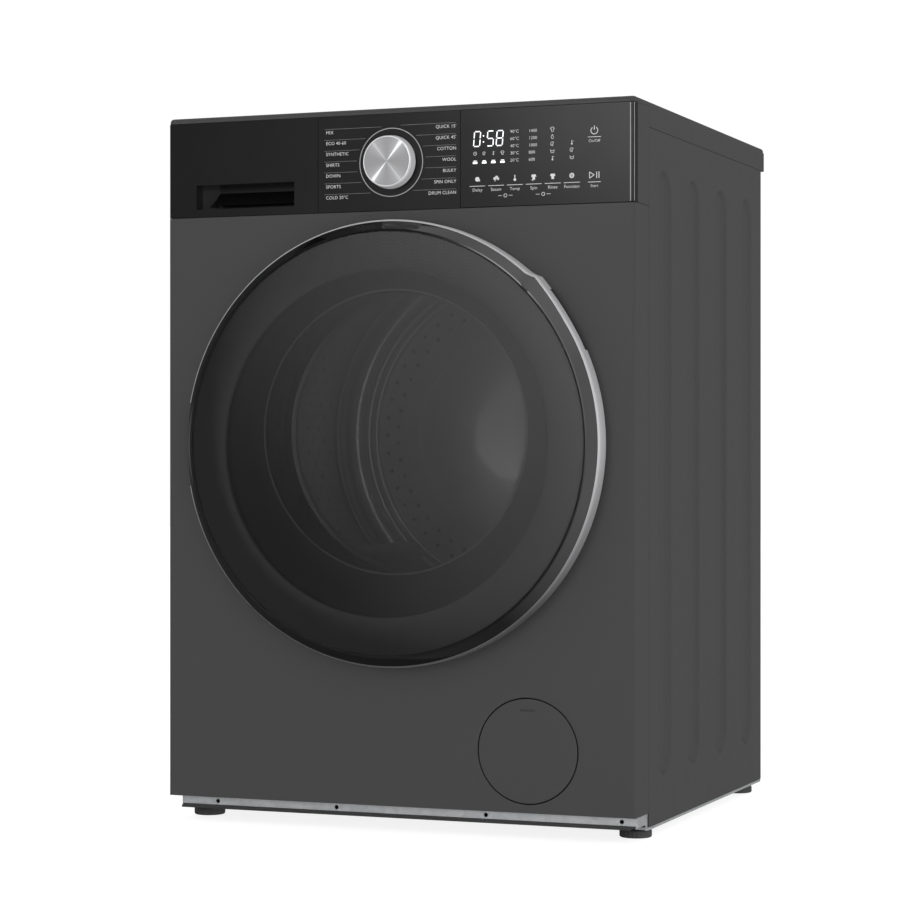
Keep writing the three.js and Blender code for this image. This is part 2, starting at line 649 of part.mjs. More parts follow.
function tubFront() {
  const r = TUB_R;
  const inner = r - TUB_WALL;
  const d = TUB_FRONT_D;
  const neck = [[178, 56], [181, 56], [181, d], [r - 6, d], [r, d + 6]];
  const flange = [[r, 244], [r + 8, 244], [r + 8, TUB_SPLIT_D], [inner, TUB_SPLIT_D]];
  const inside = [[inner, d + 7], [inner - 5, d + 3], [178, d + 3]];
  const shell = turned([...neck, ...flange, ...inside], 0, 0, ROUND);
  const ports = join(barZ(18, [-235, -190], ...SUMP_PORT), barZ(18, [160, 206], ...FILL_PORT));
  const bores = join(barZ(15, [-260, -180], ...SUMP_PORT), barZ(15, [140, 220], ...FILL_PORT));
  const lugs = [-1, 1].flatMap((s) => {
    const x = [s * DAMPER_X - 8, s * DAMPER_X + 8];
    return [
      box(x, [DAMPER_D - 10, DAMPER_D - 5], [-249, -208]),
      box(x, [DAMPER_D + 5, DAMPER_D + 10], [-249, -208]),
      barY(4, [DAMPER_D - 10, DAMPER_D + 10], s * DAMPER_X, -239, 8),
    ];
  });
  const heaterHoles = [-25, 25].map((x) => barY(5, [d - 2, d + 8], x, -250, 12));
  const trimmed = cut(ports, barY(inner + 0.5, [0, 300], 0, 0, ROUND));
  return cut(join(shell, trimmed, ...lugs), bores, ...heaterHoles);
}

// Rear half with the bearing housing, radial stiffening ribs and the ears for the springs.
function tubRear() {
  const r = TUB_R;
  const inner = r - TUB_WALL;
  const s = TUB_SPLIT_D + 0.4;
  const flange = [[inner, s], [r + 8, s], [r + 8, s + 8], [r, s + 8]];
  const back = [[r, TUB_REAR_D - 6], [r - 6, TUB_REAR_D], [62, TUB_REAR_D]];
  const hub = [[46, 500], [26, 500], [26, 446], [38, 446], [42, 454]];
  const shell = turned([...flange, ...back, ...hub, [inner - 5, 454], [inner, 449]], 0, 0, ROUND);
  const ribs = [0, 1, 2, 3, 4, 5].map((i) => {
    const rib = new THREE.BoxGeometry(190, 10.5, 5).translate(150, TUB_REAR_D + 4.5, 0);
    return solid(rib.rotateY((Math.PI / 3) * i + Math.PI / 6));
  });
  const ears = [-1, 1].map((side) => {
    const ear = box([side * SPRING_X - 3, side * SPRING_X + 3], [SPRING_D - 10, SPRING_D + 10], [145, 178]);
    return ear;
  });
  return join(shell, ...ribs, ...ears);
}

function arcBlock(r0, r1, from, to) {
  const [a0, a1] = [from, to].map(THREE.MathUtils.degToRad);
  return new THREE.Shape().absarc(0, 0, r1, a0, a1).absarc(0, 0, r0, a1, a0, true);
}

// Concrete half ring on the front of the tub, notched round the heater's flange.
function frontCounterweight() {
  const block = alongY(arcBlock(196, 255, 198, 342), [46, TUB_FRONT_D - 0.4], 12);
  return cut(block, box([-48, 48], [40, 80], [-270, -232]));
}

// Concrete saddle on top of the tub.
function topCounterweight() {
  const saddle = new THREE.Shape();
  const r = TUB_R + 9;
  const [right, left] = [150, -90];
  saddle.moveTo(left, 330).lineTo(left, Math.sqrt(r * r - left * left));
  saddle.absarc(0, 0, r, Math.acos(left / r), Math.acos(right / r), true).lineTo(right, 330);
  return alongY(saddle, [150, 300], 12);
}

// Two coils of tube dipping into the sump, behind a clamping flange.
function heater() {
  const path = [[-25, 66, -250], [-25, 120, -250], [-25, 200, -250], [-18, 224, -250], [0, 232, -250]];
  const mirrored = path.slice(0, 4).reverse().map(([x, y, z]) => [-x, y, z]);
  return join(tube([...path, ...mirrored], 3.2, 2, 20), box([-42, 42], [60, 68.6], [-261, -239]));
}

function drumBearing(from) {
  const [bore, rim, to] = [SHAFT_R + 0.4, 25.6, from + 16];
  return turned([[bore, from], [rim, from], [rim, to], [bore, to]], 0, 0, 20);
}

function motorHousing() {
  const z = -MOTOR_DROP;
  const body = [[9, 330], [60, 330], [72, 342], [72, 468], [60, 482], [9, 482]];
  const lug = (s) => box([56 * s - 6, 56 * s + 6], [350, 460], [z + 30, -260]);
  return join(turned(body, 0, z, 20), lug(-1), lug(1));
}

function motorPulley() {
  const r = MOTOR_PULLEY_R;
  const shaft = [[0, 345], [8, 345], [8, 506]];
  const groove = [[r + 2, 506], [r + 2, 508], [r, 508], [r, 522], [r + 2, 522], [r + 2, 524], [0, 524]];
  return turned([...shaft, ...groove], 0, -MOTOR_DROP, 12);
}

// Flat ribbed belt: a band of even thickness stretched round both pulleys.
function driveBelt() {
  const outline = (extra) => {
    const [big, small] = [PULLEY_R + extra, MOTOR_PULLEY_R + extra];
    const lean = Math.asin((PULLEY_R - MOTOR_PULLEY_R) / MOTOR_DROP);
    const points = [];
    const arc = (r, z, from, to, steps) => {
      for (let i = 0; i <= steps; i++) {
        const a = from + ((to - from) * i) / steps;
        points.push([r * Math.cos(a), z + r * Math.sin(a)]);
      }
    };
    arc(big, 0, -lean, Math.PI + lean, 22);
    arc(small, -MOTOR_DROP, Math.PI + lean, 2 * Math.PI - lean, 10);
    return shapeOf(points);
  };
  return cut(alongY(outline(3.9), BELT_D), alongY(outline(0.9), [BELT_D[0] - 1, BELT_D[1] + 1]));
}

// ---------------------------------------------------------------- drum (about its axis)

function drumShell() {
  const r = DRUM_R;
  const o = DRUM_OPENING_R;
  const inside = [[0, 427.6], [234, 427.6], [r - 1.4, 422], [r - 1.4, 89.5], [235, 84.6], [173, 84.6]];
  const lip = [[o + 1.4, 88], [o + 1.4, 94], [o, 94], [o, 87], [172, 83.2]];
  return turned([...inside, ...lip, [236, 83.2], [r, 88.5], [r, 423], [235, 429], [0, 429]], 0, 0, ROUND);
}

function lifter() {
  const outline = new THREE.Shape();
  outline.moveTo(-29, 234).lineTo(-11, 198).absarc(0, 198, 11, Math.PI, 2 * Math.PI).lineTo(29, 234);
  return alongY(outline, [118, 402], 4);
}

// Cast spider behind the drum, in one with its stepped shaft.
function drumSpider() {
  const boss = [[0, 431], [32, 431], [30, 443.6], [SHAFT_R, 443.6]];
  const shaft = [[SHAFT_R, 504], [12, 504], [12, 530], [0, 530]];
  const arms = [0, 1, 2].map((i) => {
    const arm = new THREE.BoxGeometry(210, 9, 34).translate(120, 435.6, 0);
    return solid(arm.rotateY((2 * Math.PI * i) / 3 + Math.PI / 2));
  });
  return join(turned([...boss, ...shaft], 0, 0, 20), ...arms);
}

function drumPulley() {
  const r = PULLEY_R;
  const hub = [[12.4, 505.5], [26, 505.5], [26, 512], [r - 8, 512], [r - 8, 508]];
  const rim = [[r, 508], [r, 522], [r - 8, 522], [r - 8, 516], [26, 516], [26, 526], [12.4, 526]];
  const holes = [0, 1, 2, 3, 4].map((i) => {
    const a = (2 * Math.PI * i) / 5;
    return barY(24, [500, 530], 78 * Math.cos(a), 78 * Math.sin(a), 6);
  });
  return cut(turned([...hub, ...rim], 0, 0, ROUND), ...holes);
}

// ---------------------------------------------------------------- suspension, pump, hoses, rear connections

// Hung spring: straight hooks at both ends of a coil.
function spring() {
  const turns = 6;
  const coil = { r: 13, z0: 674, z1: 772 };
  const points = [[0, 0, 650], [0, 0, 664]];
  const steps = turns * 10;
  for (let i = 0; i <= steps; i++) {
    const a = (2 * Math.PI * i) / 10;
    points.push([coil.r * Math.cos(a), coil.r * Math.sin(a), coil.z0 + ((coil.z1 - coil.z0) * i) / steps]);
  }
  points.push([0, 0, 781], [0, 0, 789.6]);
  return tube(points, 2.1, 2, 52);
}

function damperTube() {
  const made = join(barZ(14, [41, 166], 0, 0), barY(9, [-4, 4], 0, 33, 12));
  return cut(made, barZ(11.6, [48, 160], 0, 0), barZ(6.8, [150, 170], 0, 0), barY(4.4, [-6, 6], 0, 33, 8));
}

function damperRod() {
  const made = join(barZ(4.8, [110, 224]), barZ(11, [106, 118]), barY(9, [-4, 4], 0, 232, 12));
  return cut(made, barY(4.4, [-6, 6], 0, 232, 8));
}

// Drain pump: filter barrel open to the front, volute, motor, foot, and its two ports.
function drainPump() {
  const mouth = HATCH_RECESS_D + SHEET + 0.4;
  const body = [[28.9, mouth], [37, mouth], [37, 112], [43, 116], [43, 150], [30, 154], [30, 200], [0, 200]];
  return cut(
    join(
      turned([...body, [0, 108], [28.9, 108]], HATCH_X, HATCH_Z, 20),
      barZ(17, [HATCH_Z + 28, 172], ...SUMP_PORT),
      barX(12, [HATCH_X + 30, HATCH_X + 72], 132, HATCH_Z),
      box([HATCH_X - 24, HATCH_X + 24], [40, 100], [17.6, 70]),
    ),
    barY(28.9, [10, 108], HATCH_X, HATCH_Z, 20),
    barZ(14, [HATCH_Z, 180], ...SUMP_PORT),
    barX(9, [HATCH_X + 40, HATCH_X + 80], 132, HATCH_Z),
  );
}

// Screw-in filter: grip bar, flange, plug and lint cage in one.
function filterCap() {
  const profile = [[0, 11], [34, 11], [34, 15], [28.2, 15], [28.2, 60], [24, 62], [24, 104], [0, 104]];
  return join(turned(profile, 0, 0, 20), box([-26, 26], [6, 11.5], [-3.5, 3.5]));
}

// Round hatch with a shallow skirt, a coin slot near its top and a hinge barrel near its bottom.
function filterHatch() {
  const disc = [[0, 0], [HATCH_R, 0], [HATCH_R, 2.5], [HATCH_R - 2.5, 2.5], [HATCH_R - 2.5, 2], [0, 2]];
  return cut(
    join(turned(disc, 0, 0, ROUND), barX(1, [-10, 10], HATCH_HINGE_D, -HATCH_HINGE_DROP, 12)),
    box([-9, 9], [-1, 1.2], [46, 48.4]),
  );
}

function inletValve() {
  const [x, z] = INLET;
  return cut(
    join(
      box([x - 23, x + 23], [505, 549], [z - 22, z + 22]),
      barY(13.2, [548, 566], x, z, 20),
      barY(14, [470, 506], x - 8, z + 4),
      barY(7, [470, 506], x + 14, z - 12, 16),
    ),
    barY(9, [520, 570], x, z),
  );
}

function drainOutlet() {
  const d = BODY_DEPTH + GAP;
  const inside = [[8, 566], [8, 536], [11, 536], [11, d]];
  return turned([...inside, [20, d], [20, d + 3], [11, d + 3], [11, 566]], ...OUTLET, 12);
}

function cableGland() {
  const d = BODY_DEPTH + GAP;
  return turned([[4, 544], [7.5, 544], [7.5, d], [12, d], [12, d + 4], [8, 562], [4, 562]], ...GLAND, 12);
}

// Straight stretch of hose pushed between two ports.
const hose = (port, z) => cut(barZ(20, z, ...port), barZ(17.5, [z[0] - 1, z[1] + 1], ...port));

// ---------------------------------------------------------------- assembly

const machine = new THREE.Group();
machine.position.y = (DOOR_PROUD - TOP_DEPTH) / 2;

const cabinet = group(machine);
part("front_panel", frontPanel(), PAINT, cabinet);
part("right_side_panel", sidePanel(), PAINT, cabinet);
part("left_side_panel", sidePanel(), PAINT, cabinet).scale.x = -1;
part("rear_panel", rearPanel(), ZINC, cabinet);
part("top_plate", topPlate(), PAINT, cabinet);
part("base_frame", baseFrame(), ZINC, cabinet);
part("base_pan", basePan(), BLACK_PLASTIC, cabinet);
part("cross_beam", crossBeam(), ZINC, cabinet);
part("control_housing", controlHousing(), PAINT, cabinet);
part("dial_panel", dialPanel(), FASCIA, cabinet);
part("display_panel", fasciaPlate(SEAM_RIGHT + 0.2, 1), FASCIA, cabinet);
part("control_board", controlBoard(), BOARD, cabinet);
part("dispenser_housing", dispenserHousing(), GREY_PLASTIC, cabinet);
part("door_lock", doorLock(), BLACK_PLASTIC, cabinet);
part("hinge_bracket", hingeBracket(), STEEL, group(cabinet, 0, 0, DOOR_Z));
part("door_seal", doorSeal(), RUBBER, cabinet);
part("drain_pump", drainPump(), BLACK_PLASTIC, cabinet);
part("inlet_valve", inletValve(), GREY_PLASTIC, cabinet);
part("drain_outlet", drainOutlet(), GREY_PLASTIC, cabinet);
part("cable_gland", cableGland(), BLACK_PLASTIC, cabinet);
part("sump_hose", hose(SUMP_PORT, [172.4, DRUM_Z - 235.4]), BLACK_RUBBER, cabinet);
part("dispenser_hose", hose(FILL_PORT, [DRUM_Z + 206.4, 712.6]), BLACK_RUBBER, cabinet);
for (const [side, s] of [["left", -1], ["right", 1]]) {
  part(`spring_${side}`, spring(), STEEL, group(cabinet, s * SPRING_X, SPRING_D, 0));
  part(`damper_tube_${side}`, damperTube(), BLACK_PLASTIC, group(cabinet, s * DAMPER_X, DAMPER_D, 0));
}
for (const [side, s] of [["left", -1], ["right", 1]]) {
  FOOT_D.forEach((d, i) => {
    part(`foot_${["front", "rear"][i]}_${side}`, foot(), BLACK_RUBBER, group(cabinet, s * FOOT_X, d, 0));
  });
}

const tub = group(machine, 0, 0, DRUM_Z);
part("tub_front", tubFront(), GREY_PLASTIC, tub);
part("tub_rear", tubRear(), GREY_PLASTIC, tub);
part("front_counterweight", frontCounterweight(), CONCRETE, tub);
part("top_counterweight", topCounterweight(), CONCRETE, tub);
part("heater", heater(), STEEL, tub);
part("front_bearing", drumBearing(448), STEEL, tub);
part("rear_bearing", drumBearing(482), STEEL, tub);
part("motor_housing", motorHousing(), ALUMINIUM, tub);
part("drive_belt", driveBelt(), BLACK_RUBBER, tub);
part("motor_pulley", motorPulley(), ALUMINIUM, tub);
for (const [side, s] of [["left", -1], ["right", 1]]) {
  part(`damper_rod_${side}`, damperRod(), STEEL, group(tub, s * DAMPER_X, DAMPER_D, -DRUM_Z));
}

const drum = group(tub);
part("drum_shell", drumShell(), STAINLESS, drum);
part("drum_spider", drumSpider(), ALUMINIUM, drum);
part("drum_pulley", drumPulley(), ALUMINIUM, drum);
for (let i = 0; i < 3; i++) {
  const paddle = part(`lifter_${i + 1}`, lifter(), GREY_PLASTIC, drum);
  paddle.rotation.y = THREE.MathUtils.degToRad(100 + 120 * i);
}

const door = group(machine, 0, 0, DOOR_Z);
part("door_ring", doorRing(), GLOSS_BLACK, door);
part("door_cover", doorCover(), TINTED, door);
part("door_funnel", doorFunnel(), GLOSS_BLACK, door);
part("door_inner_frame", doorInnerFrame(), BLACK_PLASTIC, door);
part("door_glass", doorGlass(), GLASS, door);
part("hinge_arm", hingeArm(), STEEL, door);
part("latch_hook", latchHook(), STEEL, door);

part("drawer_front", drawerFront(), FASCIA, machine);
part("drawer_tray", drawerTray(), GREY_PLASTIC, machine);
part("program_knob", programKnob(), ALUMINIUM, group(machine, DIAL_X, 0, DIAL_Z));
part("filter_hatch", filterHatch(), PAINT, group(machine, HATCH_X, 0, HATCH_Z));
part("filter_cap", filterCap(), BLACK_PLASTIC, group(machine, HATCH_X, 0, HATCH_Z));

export default machine;
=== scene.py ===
"""Looks of the front load washing machine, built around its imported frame.

Blender works in metres. The helpers below take millimetres: x to the right, depth behind the outer face of
the front panel (negative is in front of it), and z above the floor.
"""

import math

import bmesh
import bpy
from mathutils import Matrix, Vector


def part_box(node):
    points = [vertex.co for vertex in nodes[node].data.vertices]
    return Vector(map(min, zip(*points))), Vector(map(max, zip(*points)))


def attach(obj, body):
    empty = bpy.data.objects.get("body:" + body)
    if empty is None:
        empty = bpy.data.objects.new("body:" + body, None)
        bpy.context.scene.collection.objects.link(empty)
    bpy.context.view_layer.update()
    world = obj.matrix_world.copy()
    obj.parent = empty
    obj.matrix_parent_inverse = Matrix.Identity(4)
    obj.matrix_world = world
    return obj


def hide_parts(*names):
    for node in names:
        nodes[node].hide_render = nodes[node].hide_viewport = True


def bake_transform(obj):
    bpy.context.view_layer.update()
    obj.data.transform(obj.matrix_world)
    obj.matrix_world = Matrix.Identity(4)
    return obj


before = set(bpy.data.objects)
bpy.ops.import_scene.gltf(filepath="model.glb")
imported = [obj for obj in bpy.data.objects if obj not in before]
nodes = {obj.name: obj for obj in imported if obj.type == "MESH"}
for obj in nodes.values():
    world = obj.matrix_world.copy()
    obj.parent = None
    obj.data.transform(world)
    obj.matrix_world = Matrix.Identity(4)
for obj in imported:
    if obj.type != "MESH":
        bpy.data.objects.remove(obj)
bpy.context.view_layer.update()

MM = 0.001
scene = bpy.context.scene


def span(node):
    """Lowest and highest corner of a CAD node, in millimetres, with y as depth."""
    low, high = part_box(node)
    shift = Vector((0, FRONT, 0))
    return (low - shift) / MM, (high - shift) / MM


def middle(node):
    low, high = span(node)
    return (low + high) / 2


# ---------------------------------------------------------------- places, taken from the frame

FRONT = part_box("front_panel")[0].y
HALF = span("front_panel")[1].x
HEIGHT = span("top_plate")[1].z
TOP_DEPTH = span("top_plate")[1].y
TOP_UNDERSIDE = HEIGHT - 6.6
SKIRT_BOTTOM = span("top_plate")[0].z
BODY_DEPTH = span("right_side_panel")[1].y
SIDE_BOTTOM = span("right_side_panel")[0].z
SIDE_TOP = span("right_side_panel")[1].z
RETURN_DEPTH = span("front_panel")[1].y
PANEL_BOTTOM = span("front_panel")[0].z
PANEL_TOP = span("front_panel")[1].z
FASCIA_BOTTOM = span("dial_panel")[0].z
FASCIA_TOP = span("dial_panel")[1].z
SEAM_LEFT = span("dial_panel")[0].x
SEAM_RIGHT = span("dial_panel")[1].x
DOOR_Z = middle("door_cover").z
DRUM_Z = middle("door_seal").z
BOWL_UP = DRUM_Z - DOOR_Z
DIAL_X, _, DIAL_Z = middle("program_knob")
HATCH_X, _, HATCH_Z = middle("filter_hatch")
HATCH_R = span("filter_hatch")[1].x - HATCH_X
BASE_TOP = span("base_frame")[1].z
SHEET = 1.2
CORNER_R = 4
RECESS_R = 237
RECESS_D = 12
OPENING_R = 186
HATCH_RECESS_D = 14
HINGE_HALF = 40
HINGE_X, HINGE_D = -252, -18
LATCH_X = 216
PULL_X, PULL_Z, PULL_DEPTH = (-260.3, -129.6), (741.4, 770.7), 25
BASE_FRONT = span("base_frame")[0].y
SUMP, FILL = (160, 95), (-200, 225)
FEET = ("foot_front_left", "foot_rear_left", "foot_front_right", "foot_rear_right")


def at(x, depth, z):
    return Vector((x * MM, FRONT + depth * MM, z * MM))


# ---------------------------------------------------------------- camera, floor and light


def placed(name, data):
    """A new object in the scene from its mesh, lamp, camera or text."""
    obj = bpy.data.objects.new(name, data)
    scene.collection.objects.link(obj)
    return obj


def mesh_object(name, bm, material):
    """A new object from a bmesh, which is used up."""
    mesh = bpy.data.meshes.new(name)
    bm.to_mesh(mesh)
    bm.free()
    mesh.materials.append(material)
    return placed(name, mesh)


def make_camera():
    data = bpy.data.cameras.new("camera")
    data.lens = 103.81
    data.sensor_width = 36
    camera = placed("camera", data)
    camera.location = at(1207.4, -2881.9, 440)
    camera.rotation_euler = (math.radians(89.9635), 0, math.radians(21.312))
    scene.camera = camera


def make_world():
    world = bpy.data.worlds.new("studio")
    world.use_nodes = True
    background = world.node_tree.nodes["Background"]
    background.inputs["Color"].default_value = (1, 1, 1, 1)
    background.inputs["Strength"].default_value = 1.02
    scene.world = world
    scene.view_settings.view_transform = "Standard"


def make_drum_light():
    """A soft lamp at the mouth of the drum, for the light that reaches its back wall through the door."""
    data = bpy.data.lights.new("drum_light", "AREA")
    data.shape = "DISK"
    data.size = 0.2
    data.energy = 0.08
    lamp = placed("drum_light", data)
    lamp.location = at(0, 103, DRUM_Z + 20)
    lamp.rotation_euler = (math.radians(90), 0, 0)
    lamp.visible_camera = False


def direction(azimuth, elevation):
    """A unit vector: azimuth is measured from straight in front of the machine towards its right side."""
    a, e = math.radians(azimuth), math.radians(elevation)
    return (math.cos(e) * math.sin(a), -math.cos(e) * math.cos(a), math.sin(e))


def make_dome(glows, base):
    """A studio dome that only reflections see. Each glow is (azimuth, elevation, edge, core, strength):
    nothing beyond edge degrees from its middle, full strength within core degrees."""
    made = bpy.data.materials.new("studio_dome")
    made.use_nodes = True
    tree = made.node_tree
    tree.nodes.clear()
    out = tree.nodes.new("ShaderNodeOutputMaterial")
    glow = tree.nodes.new("ShaderNodeEmission")
    tree.links.new(glow.outputs["Emission"], out.inputs["Surface"])
    unit = tree.nodes.new("ShaderNodeVectorMath")
    unit.operation = "NORMALIZE"
    tree.links.new(tree.nodes.new("ShaderNodeTexCoord").outputs["Object"], unit.inputs[0])
    total = None
    for azimuth, elevation, edge, core, strength in glows:
        dot = tree.nodes.new("ShaderNodeVectorMath")
        dot.operation = "DOT_PRODUCT"
        dot.inputs[1].default_value = direction(azimuth, elevation)
        tree.links.new(unit.outputs["Vector"], dot.inputs[0])
        fade = tree.nodes.new("ShaderNodeMapRange")
        fade.inputs["From Min"].default_value = math.cos(math.radians(edge))
        fade.inputs["From Max"].default_value = math.cos(math.radians(core))
        fade.inputs["To Max"].default_value = strength
        tree.links.new(dot.outputs["Value"], fade.inputs["Value"])
        add_up = tree.nodes.new("ShaderNodeMath")
        add_up.inputs[1].default_value = base
        tree.links.new(fade.outputs["Result"], add_up.inputs[0])
        if total:
            tree.links.new(total, add_up.inputs[1])
        total = add_up.outputs["Value"]
    tree.links.new(total, glow.inputs["Strength"])
    bm = bmesh.new()
    bmesh.ops.create_icosphere(bm, subdivisions=4, radius=9)
    dome = mesh_object("studio_dome", bm, made)
    dome.location = (0, 0, 0.45)
    for ray in ("camera", "diffuse", "transmission", "volume_scatter", "shadow"):
        setattr(dome, f"visible_{ray}", False)


# ---------------------------------------------------------------- node materials


class Shader:
    """A node material under construction, with object coordinates in metres."""

    def __init__(self, name):
        self.material = bpy.data.materials.new(name)
        self.material.use_nodes = True
        self.tree = self.material.node_tree
        self.bsdf = self.tree.nodes["Principled BSDF"]
        self.coordinates = self.tree.nodes.new("ShaderNodeTexCoord").outputs["Object"]

    def set(self, **values):
        for key, value in values.items():
            self.bsdf.inputs[key.replace("_", " ")].default_value = value
        return self

    def link(self, a, b):
        self.tree.links.new(a, b)

    def node(self, kind, **inputs):
        made = self.tree.nodes.new(kind)
        for key, value in inputs.items():
            socket = made.inputs[key.replace("_", " ")]
            if isinstance(value, bpy.types.NodeSocket):
                self.link(value, socket)
            else:
                socket.default_value = value
        return made

    def stretched(self, scale):
        return self.node("ShaderNodeMapping", Vector=self.coordinates, Scale=scale).outputs["Vector"]

    def noise(self, scale, detail=3, vector=None):
        source = vector or self.coordinates
        return self.node("ShaderNodeTexNoise", Vector=source, Scale=scale, Detail=detail).outputs["Fac"]

    def ramp(self, factor, low, high, start=0.3, end=0.7):
        made = self.node("ShaderNodeValToRGB", Fac=factor)
        first, last = made.color_ramp.elements
        first.position, last.position = start, end
        first.color, last.color = low, high
        return made.outputs["Color"]

    def vary_color(self, factor, low, high, **where):
        self.link(self.ramp(factor, (*low, 1), (*high, 1), **where), self.bsdf.inputs["Base Color"])
        return self

    def vary_roughness(self, factor, low, high):
        made = self.node("ShaderNodeMapRange", Value=factor, To_Min=low, To_Max=high)
        self.link(made.outputs["Result"], self.bsdf.inputs["Roughness"])
        return self

    def bump(self, height, strength, distance=0.0002):
        made = self.node("ShaderNodeBump", Strength=strength, Distance=distance, Height=height)
        self.link(made.outputs["Normal"], self.bsdf.inputs["Normal"])
        return self


def grey(value):
    return (value, value, value * 1.02)


def surface(name, low, high, mottle, rough, relief=None, **values):
    """Colour from low to high over a noise (scale, detail), roughness over another (scale, detail, low, high)
    and, if it has a grain, bump over a third (scale, detail, strength, distance)."""
    made = Shader(name)
    made.vary_color(made.noise(*mottle), low, high)
    made.vary_roughness(made.noise(*rough[:2]), *rough[2:])
    if relief:
        made.bump(made.noise(*relief[:2]), *relief[2:])
    made.set(**values)
    return made.material


def painted(name, tone, roughness):
    rough = (40, 4, roughness - 0.03, roughness + 0.05)
    relief = (900, 2, 0.12, 0.00006)
    return surface(name, grey(tone * 0.86), grey(tone * 1.14), (2600, 2), rough, relief, IOR=1.2)


def moulded(name, color, roughness, grain=0.15, scale=1400):
    low, high = [c * 0.88 for c in color], [min(1, c * 1.1) for c in color]
    rough = (220, 3, roughness - 0.04, roughness + 0.06)
    return surface(name, low, high, (60, 3), rough, (scale, 3, grain, 0.0001))


def glossy_plastic(name, tone, roughness, ior):
    rough = (30, 4, roughness * 0.8, roughness * 1.3)
    return surface(name, grey(tone * 0.9), grey(tone * 1.1), (12, 3), rough, IOR=ior)


def see_through(name, tone, alpha, ior):
    rough = (25, 3, 0.02, 0.06)
    return surface(name, grey(tone * 0.8), grey(tone * 1.2), (8, 2), rough, Alpha=alpha, IOR=ior)


def brushed(name, tone, scale, roughness=0.28):
    """Steel or aluminium with fine parallel scratches: scale is small along them."""
    made = Shader(name)
    lines = made.noise(1, 4, made.stretched(scale))
    made.vary_color(lines, grey(tone * 0.85), grey(tone * 1.1))
    made.vary_roughness(lines, roughness - 0.06, roughness + 0.1)
    made.bump(lines, 0.12, 0.00005)
    made.set(Metallic=1.0)
    return made.material


def turned_metal_painted_fans(name, low, high, centre):
    """Metal faced on a lathe: fine circles, and fans of light painted into its colour as painted highlights,
    about a centre in metres.
    """
    made = Shader(name)
    place = made.node("ShaderNodeVectorMath", Vector=made.coordinates)
    place.operation = "SUBTRACT"
    place.inputs[1].default_value = centre
    split = made.node("ShaderNodeSeparateXYZ", Vector=place.outputs["Vector"])

    def math_node(operation, first, second=0.0, third=0.0):
        step = made.tree.nodes.new("ShaderNodeMath")
        step.operation = operation
        for socket, value in zip(step.inputs, (first, second, third)):
            if isinstance(value, bpy.types.NodeSocket):
                made.link(value, socket)
            else:
                socket.default_value = value
        return step.outputs["Value"]

    angle = math_node("ARCTAN2", split.outputs["Z"], split.outputs["X"])

    def fan(degrees, power, strength):
        turned = math_node("COSINE", math_node("SUBTRACT", angle, math.radians(degrees)))
        squared = math_node("MULTIPLY", turned, turned)
        return math_node("MULTIPLY", math_node("POWER", squared, power), strength)

    # Painted highlights: bright fans in the colour where the turned face would catch the light.
    wide, narrow = fan(51, 6, 0.16), fan(51, 150, 1.0)
    second = math_node("ADD", fan(128, 6, 0.14), fan(128, 180, 0.2))
    light = math_node("ADD", math_node("ADD", wide, narrow), second)
    length = made.node("ShaderNodeVectorMath", Vector=place.outputs["Vector"])
    length.operation = "LENGTH"
    circles = made.node("ShaderNodeTexNoise", Scale=9000.0, Detail=2.0)
    circles.noise_dimensions = "1D"
    made.link(length.outputs["Value"], circles.inputs["W"])
    light = math_node("ADD", light, math_node("MULTIPLY", circles.outputs["Fac"], 0.18))
    made.vary_color(light, grey(low), grey(high), start=0.05, end=1.15)
    made.set(Metallic=0.3, Roughness=0.45)
    return made.material


def satin_metal(name, tone, roughness, metallic):
    """Plated trim whose look comes from what it reflects."""
    made = Shader(name)
    fine = made.noise(500, 3)
    made.vary_color(fine, grey(tone * 0.96), grey(tone * 1.02))
    made.vary_roughness(fine, roughness - 0.02, roughness + 0.03)
    made.set(Metallic=metallic)
    return made.material


def satin_edge_painted_light():
    """The door's satin outer edge: pale at the top and right, darker toward the bottom. The colour runs with
    height as painted light: a painted highlight at the top, painted shade toward the bottom.
    """
    made = Shader("satin_edge_painted_light")
    split = made.node("ShaderNodeSeparateXYZ", Vector=made.coordinates)
    # Painted highlight and painted shade: the colour goes from dark low on the door to pale high up.
    made.vary_color(split.outputs["Z"], grey(0.1), grey(0.52), start=0.26, end=0.455)
    made.set(Roughness=0.35, IOR=1.4)
    return made.material


def galvanised(name):
    made = Shader(name)
    spangle = made.node("ShaderNodeTexVoronoi", Vector=made.coordinates, Scale=160.0).outputs["Color"]
    made.vary_color(spangle, (0.36, 0.37, 0.38), (0.43, 0.44, 0.45), start=0.1, end=0.9)
    made.vary_roughness(made.noise(90, 4), 0.3, 0.46)
    made.bump(made.noise(500, 3), 0.08, 0.00005)
    made.set(Metallic=0.5)
    return made.material


def cast(name, tone, metallic):
    rough, relief = (300, 4, 0.45, 0.7), (700, 4, 0.3, 0.0002)
    return surface(name, grey(tone * 0.8), grey(tone * 1.1), (120, 5), rough, relief, Metallic=metallic)


def concrete():
    made = Shader("concrete")
    made.vary_color(made.noise(45, 8), (0.2, 0.19, 0.175), (0.36, 0.35, 0.33))
    made.bump(made.noise(260, 8), 0.5, 0.0008)
    made.set(Roughness=0.95)
    return made.material


def lit(name, color, strength):
    """Print or a lit segment. A faint grain keeps it from looking cut out."""
    made = Shader(name)
    made.vary_color(made.noise(900, 2), tuple(c * 0.9 for c in color), color)
    made.set(Roughness=0.4, Emission_Color=(*color, 1), Emission_Strength=strength)
    return made.material


def floor_material():
    made = Shader("floor")
    made.vary_color(made.noise(3, 2), (0.2, 0.2, 0.2), (0.22, 0.22, 0.22))
    made.set(Roughness=0.9, Emission_Color=(1, 1, 1, 1), Emission_Strength=0.86)
    return made.material


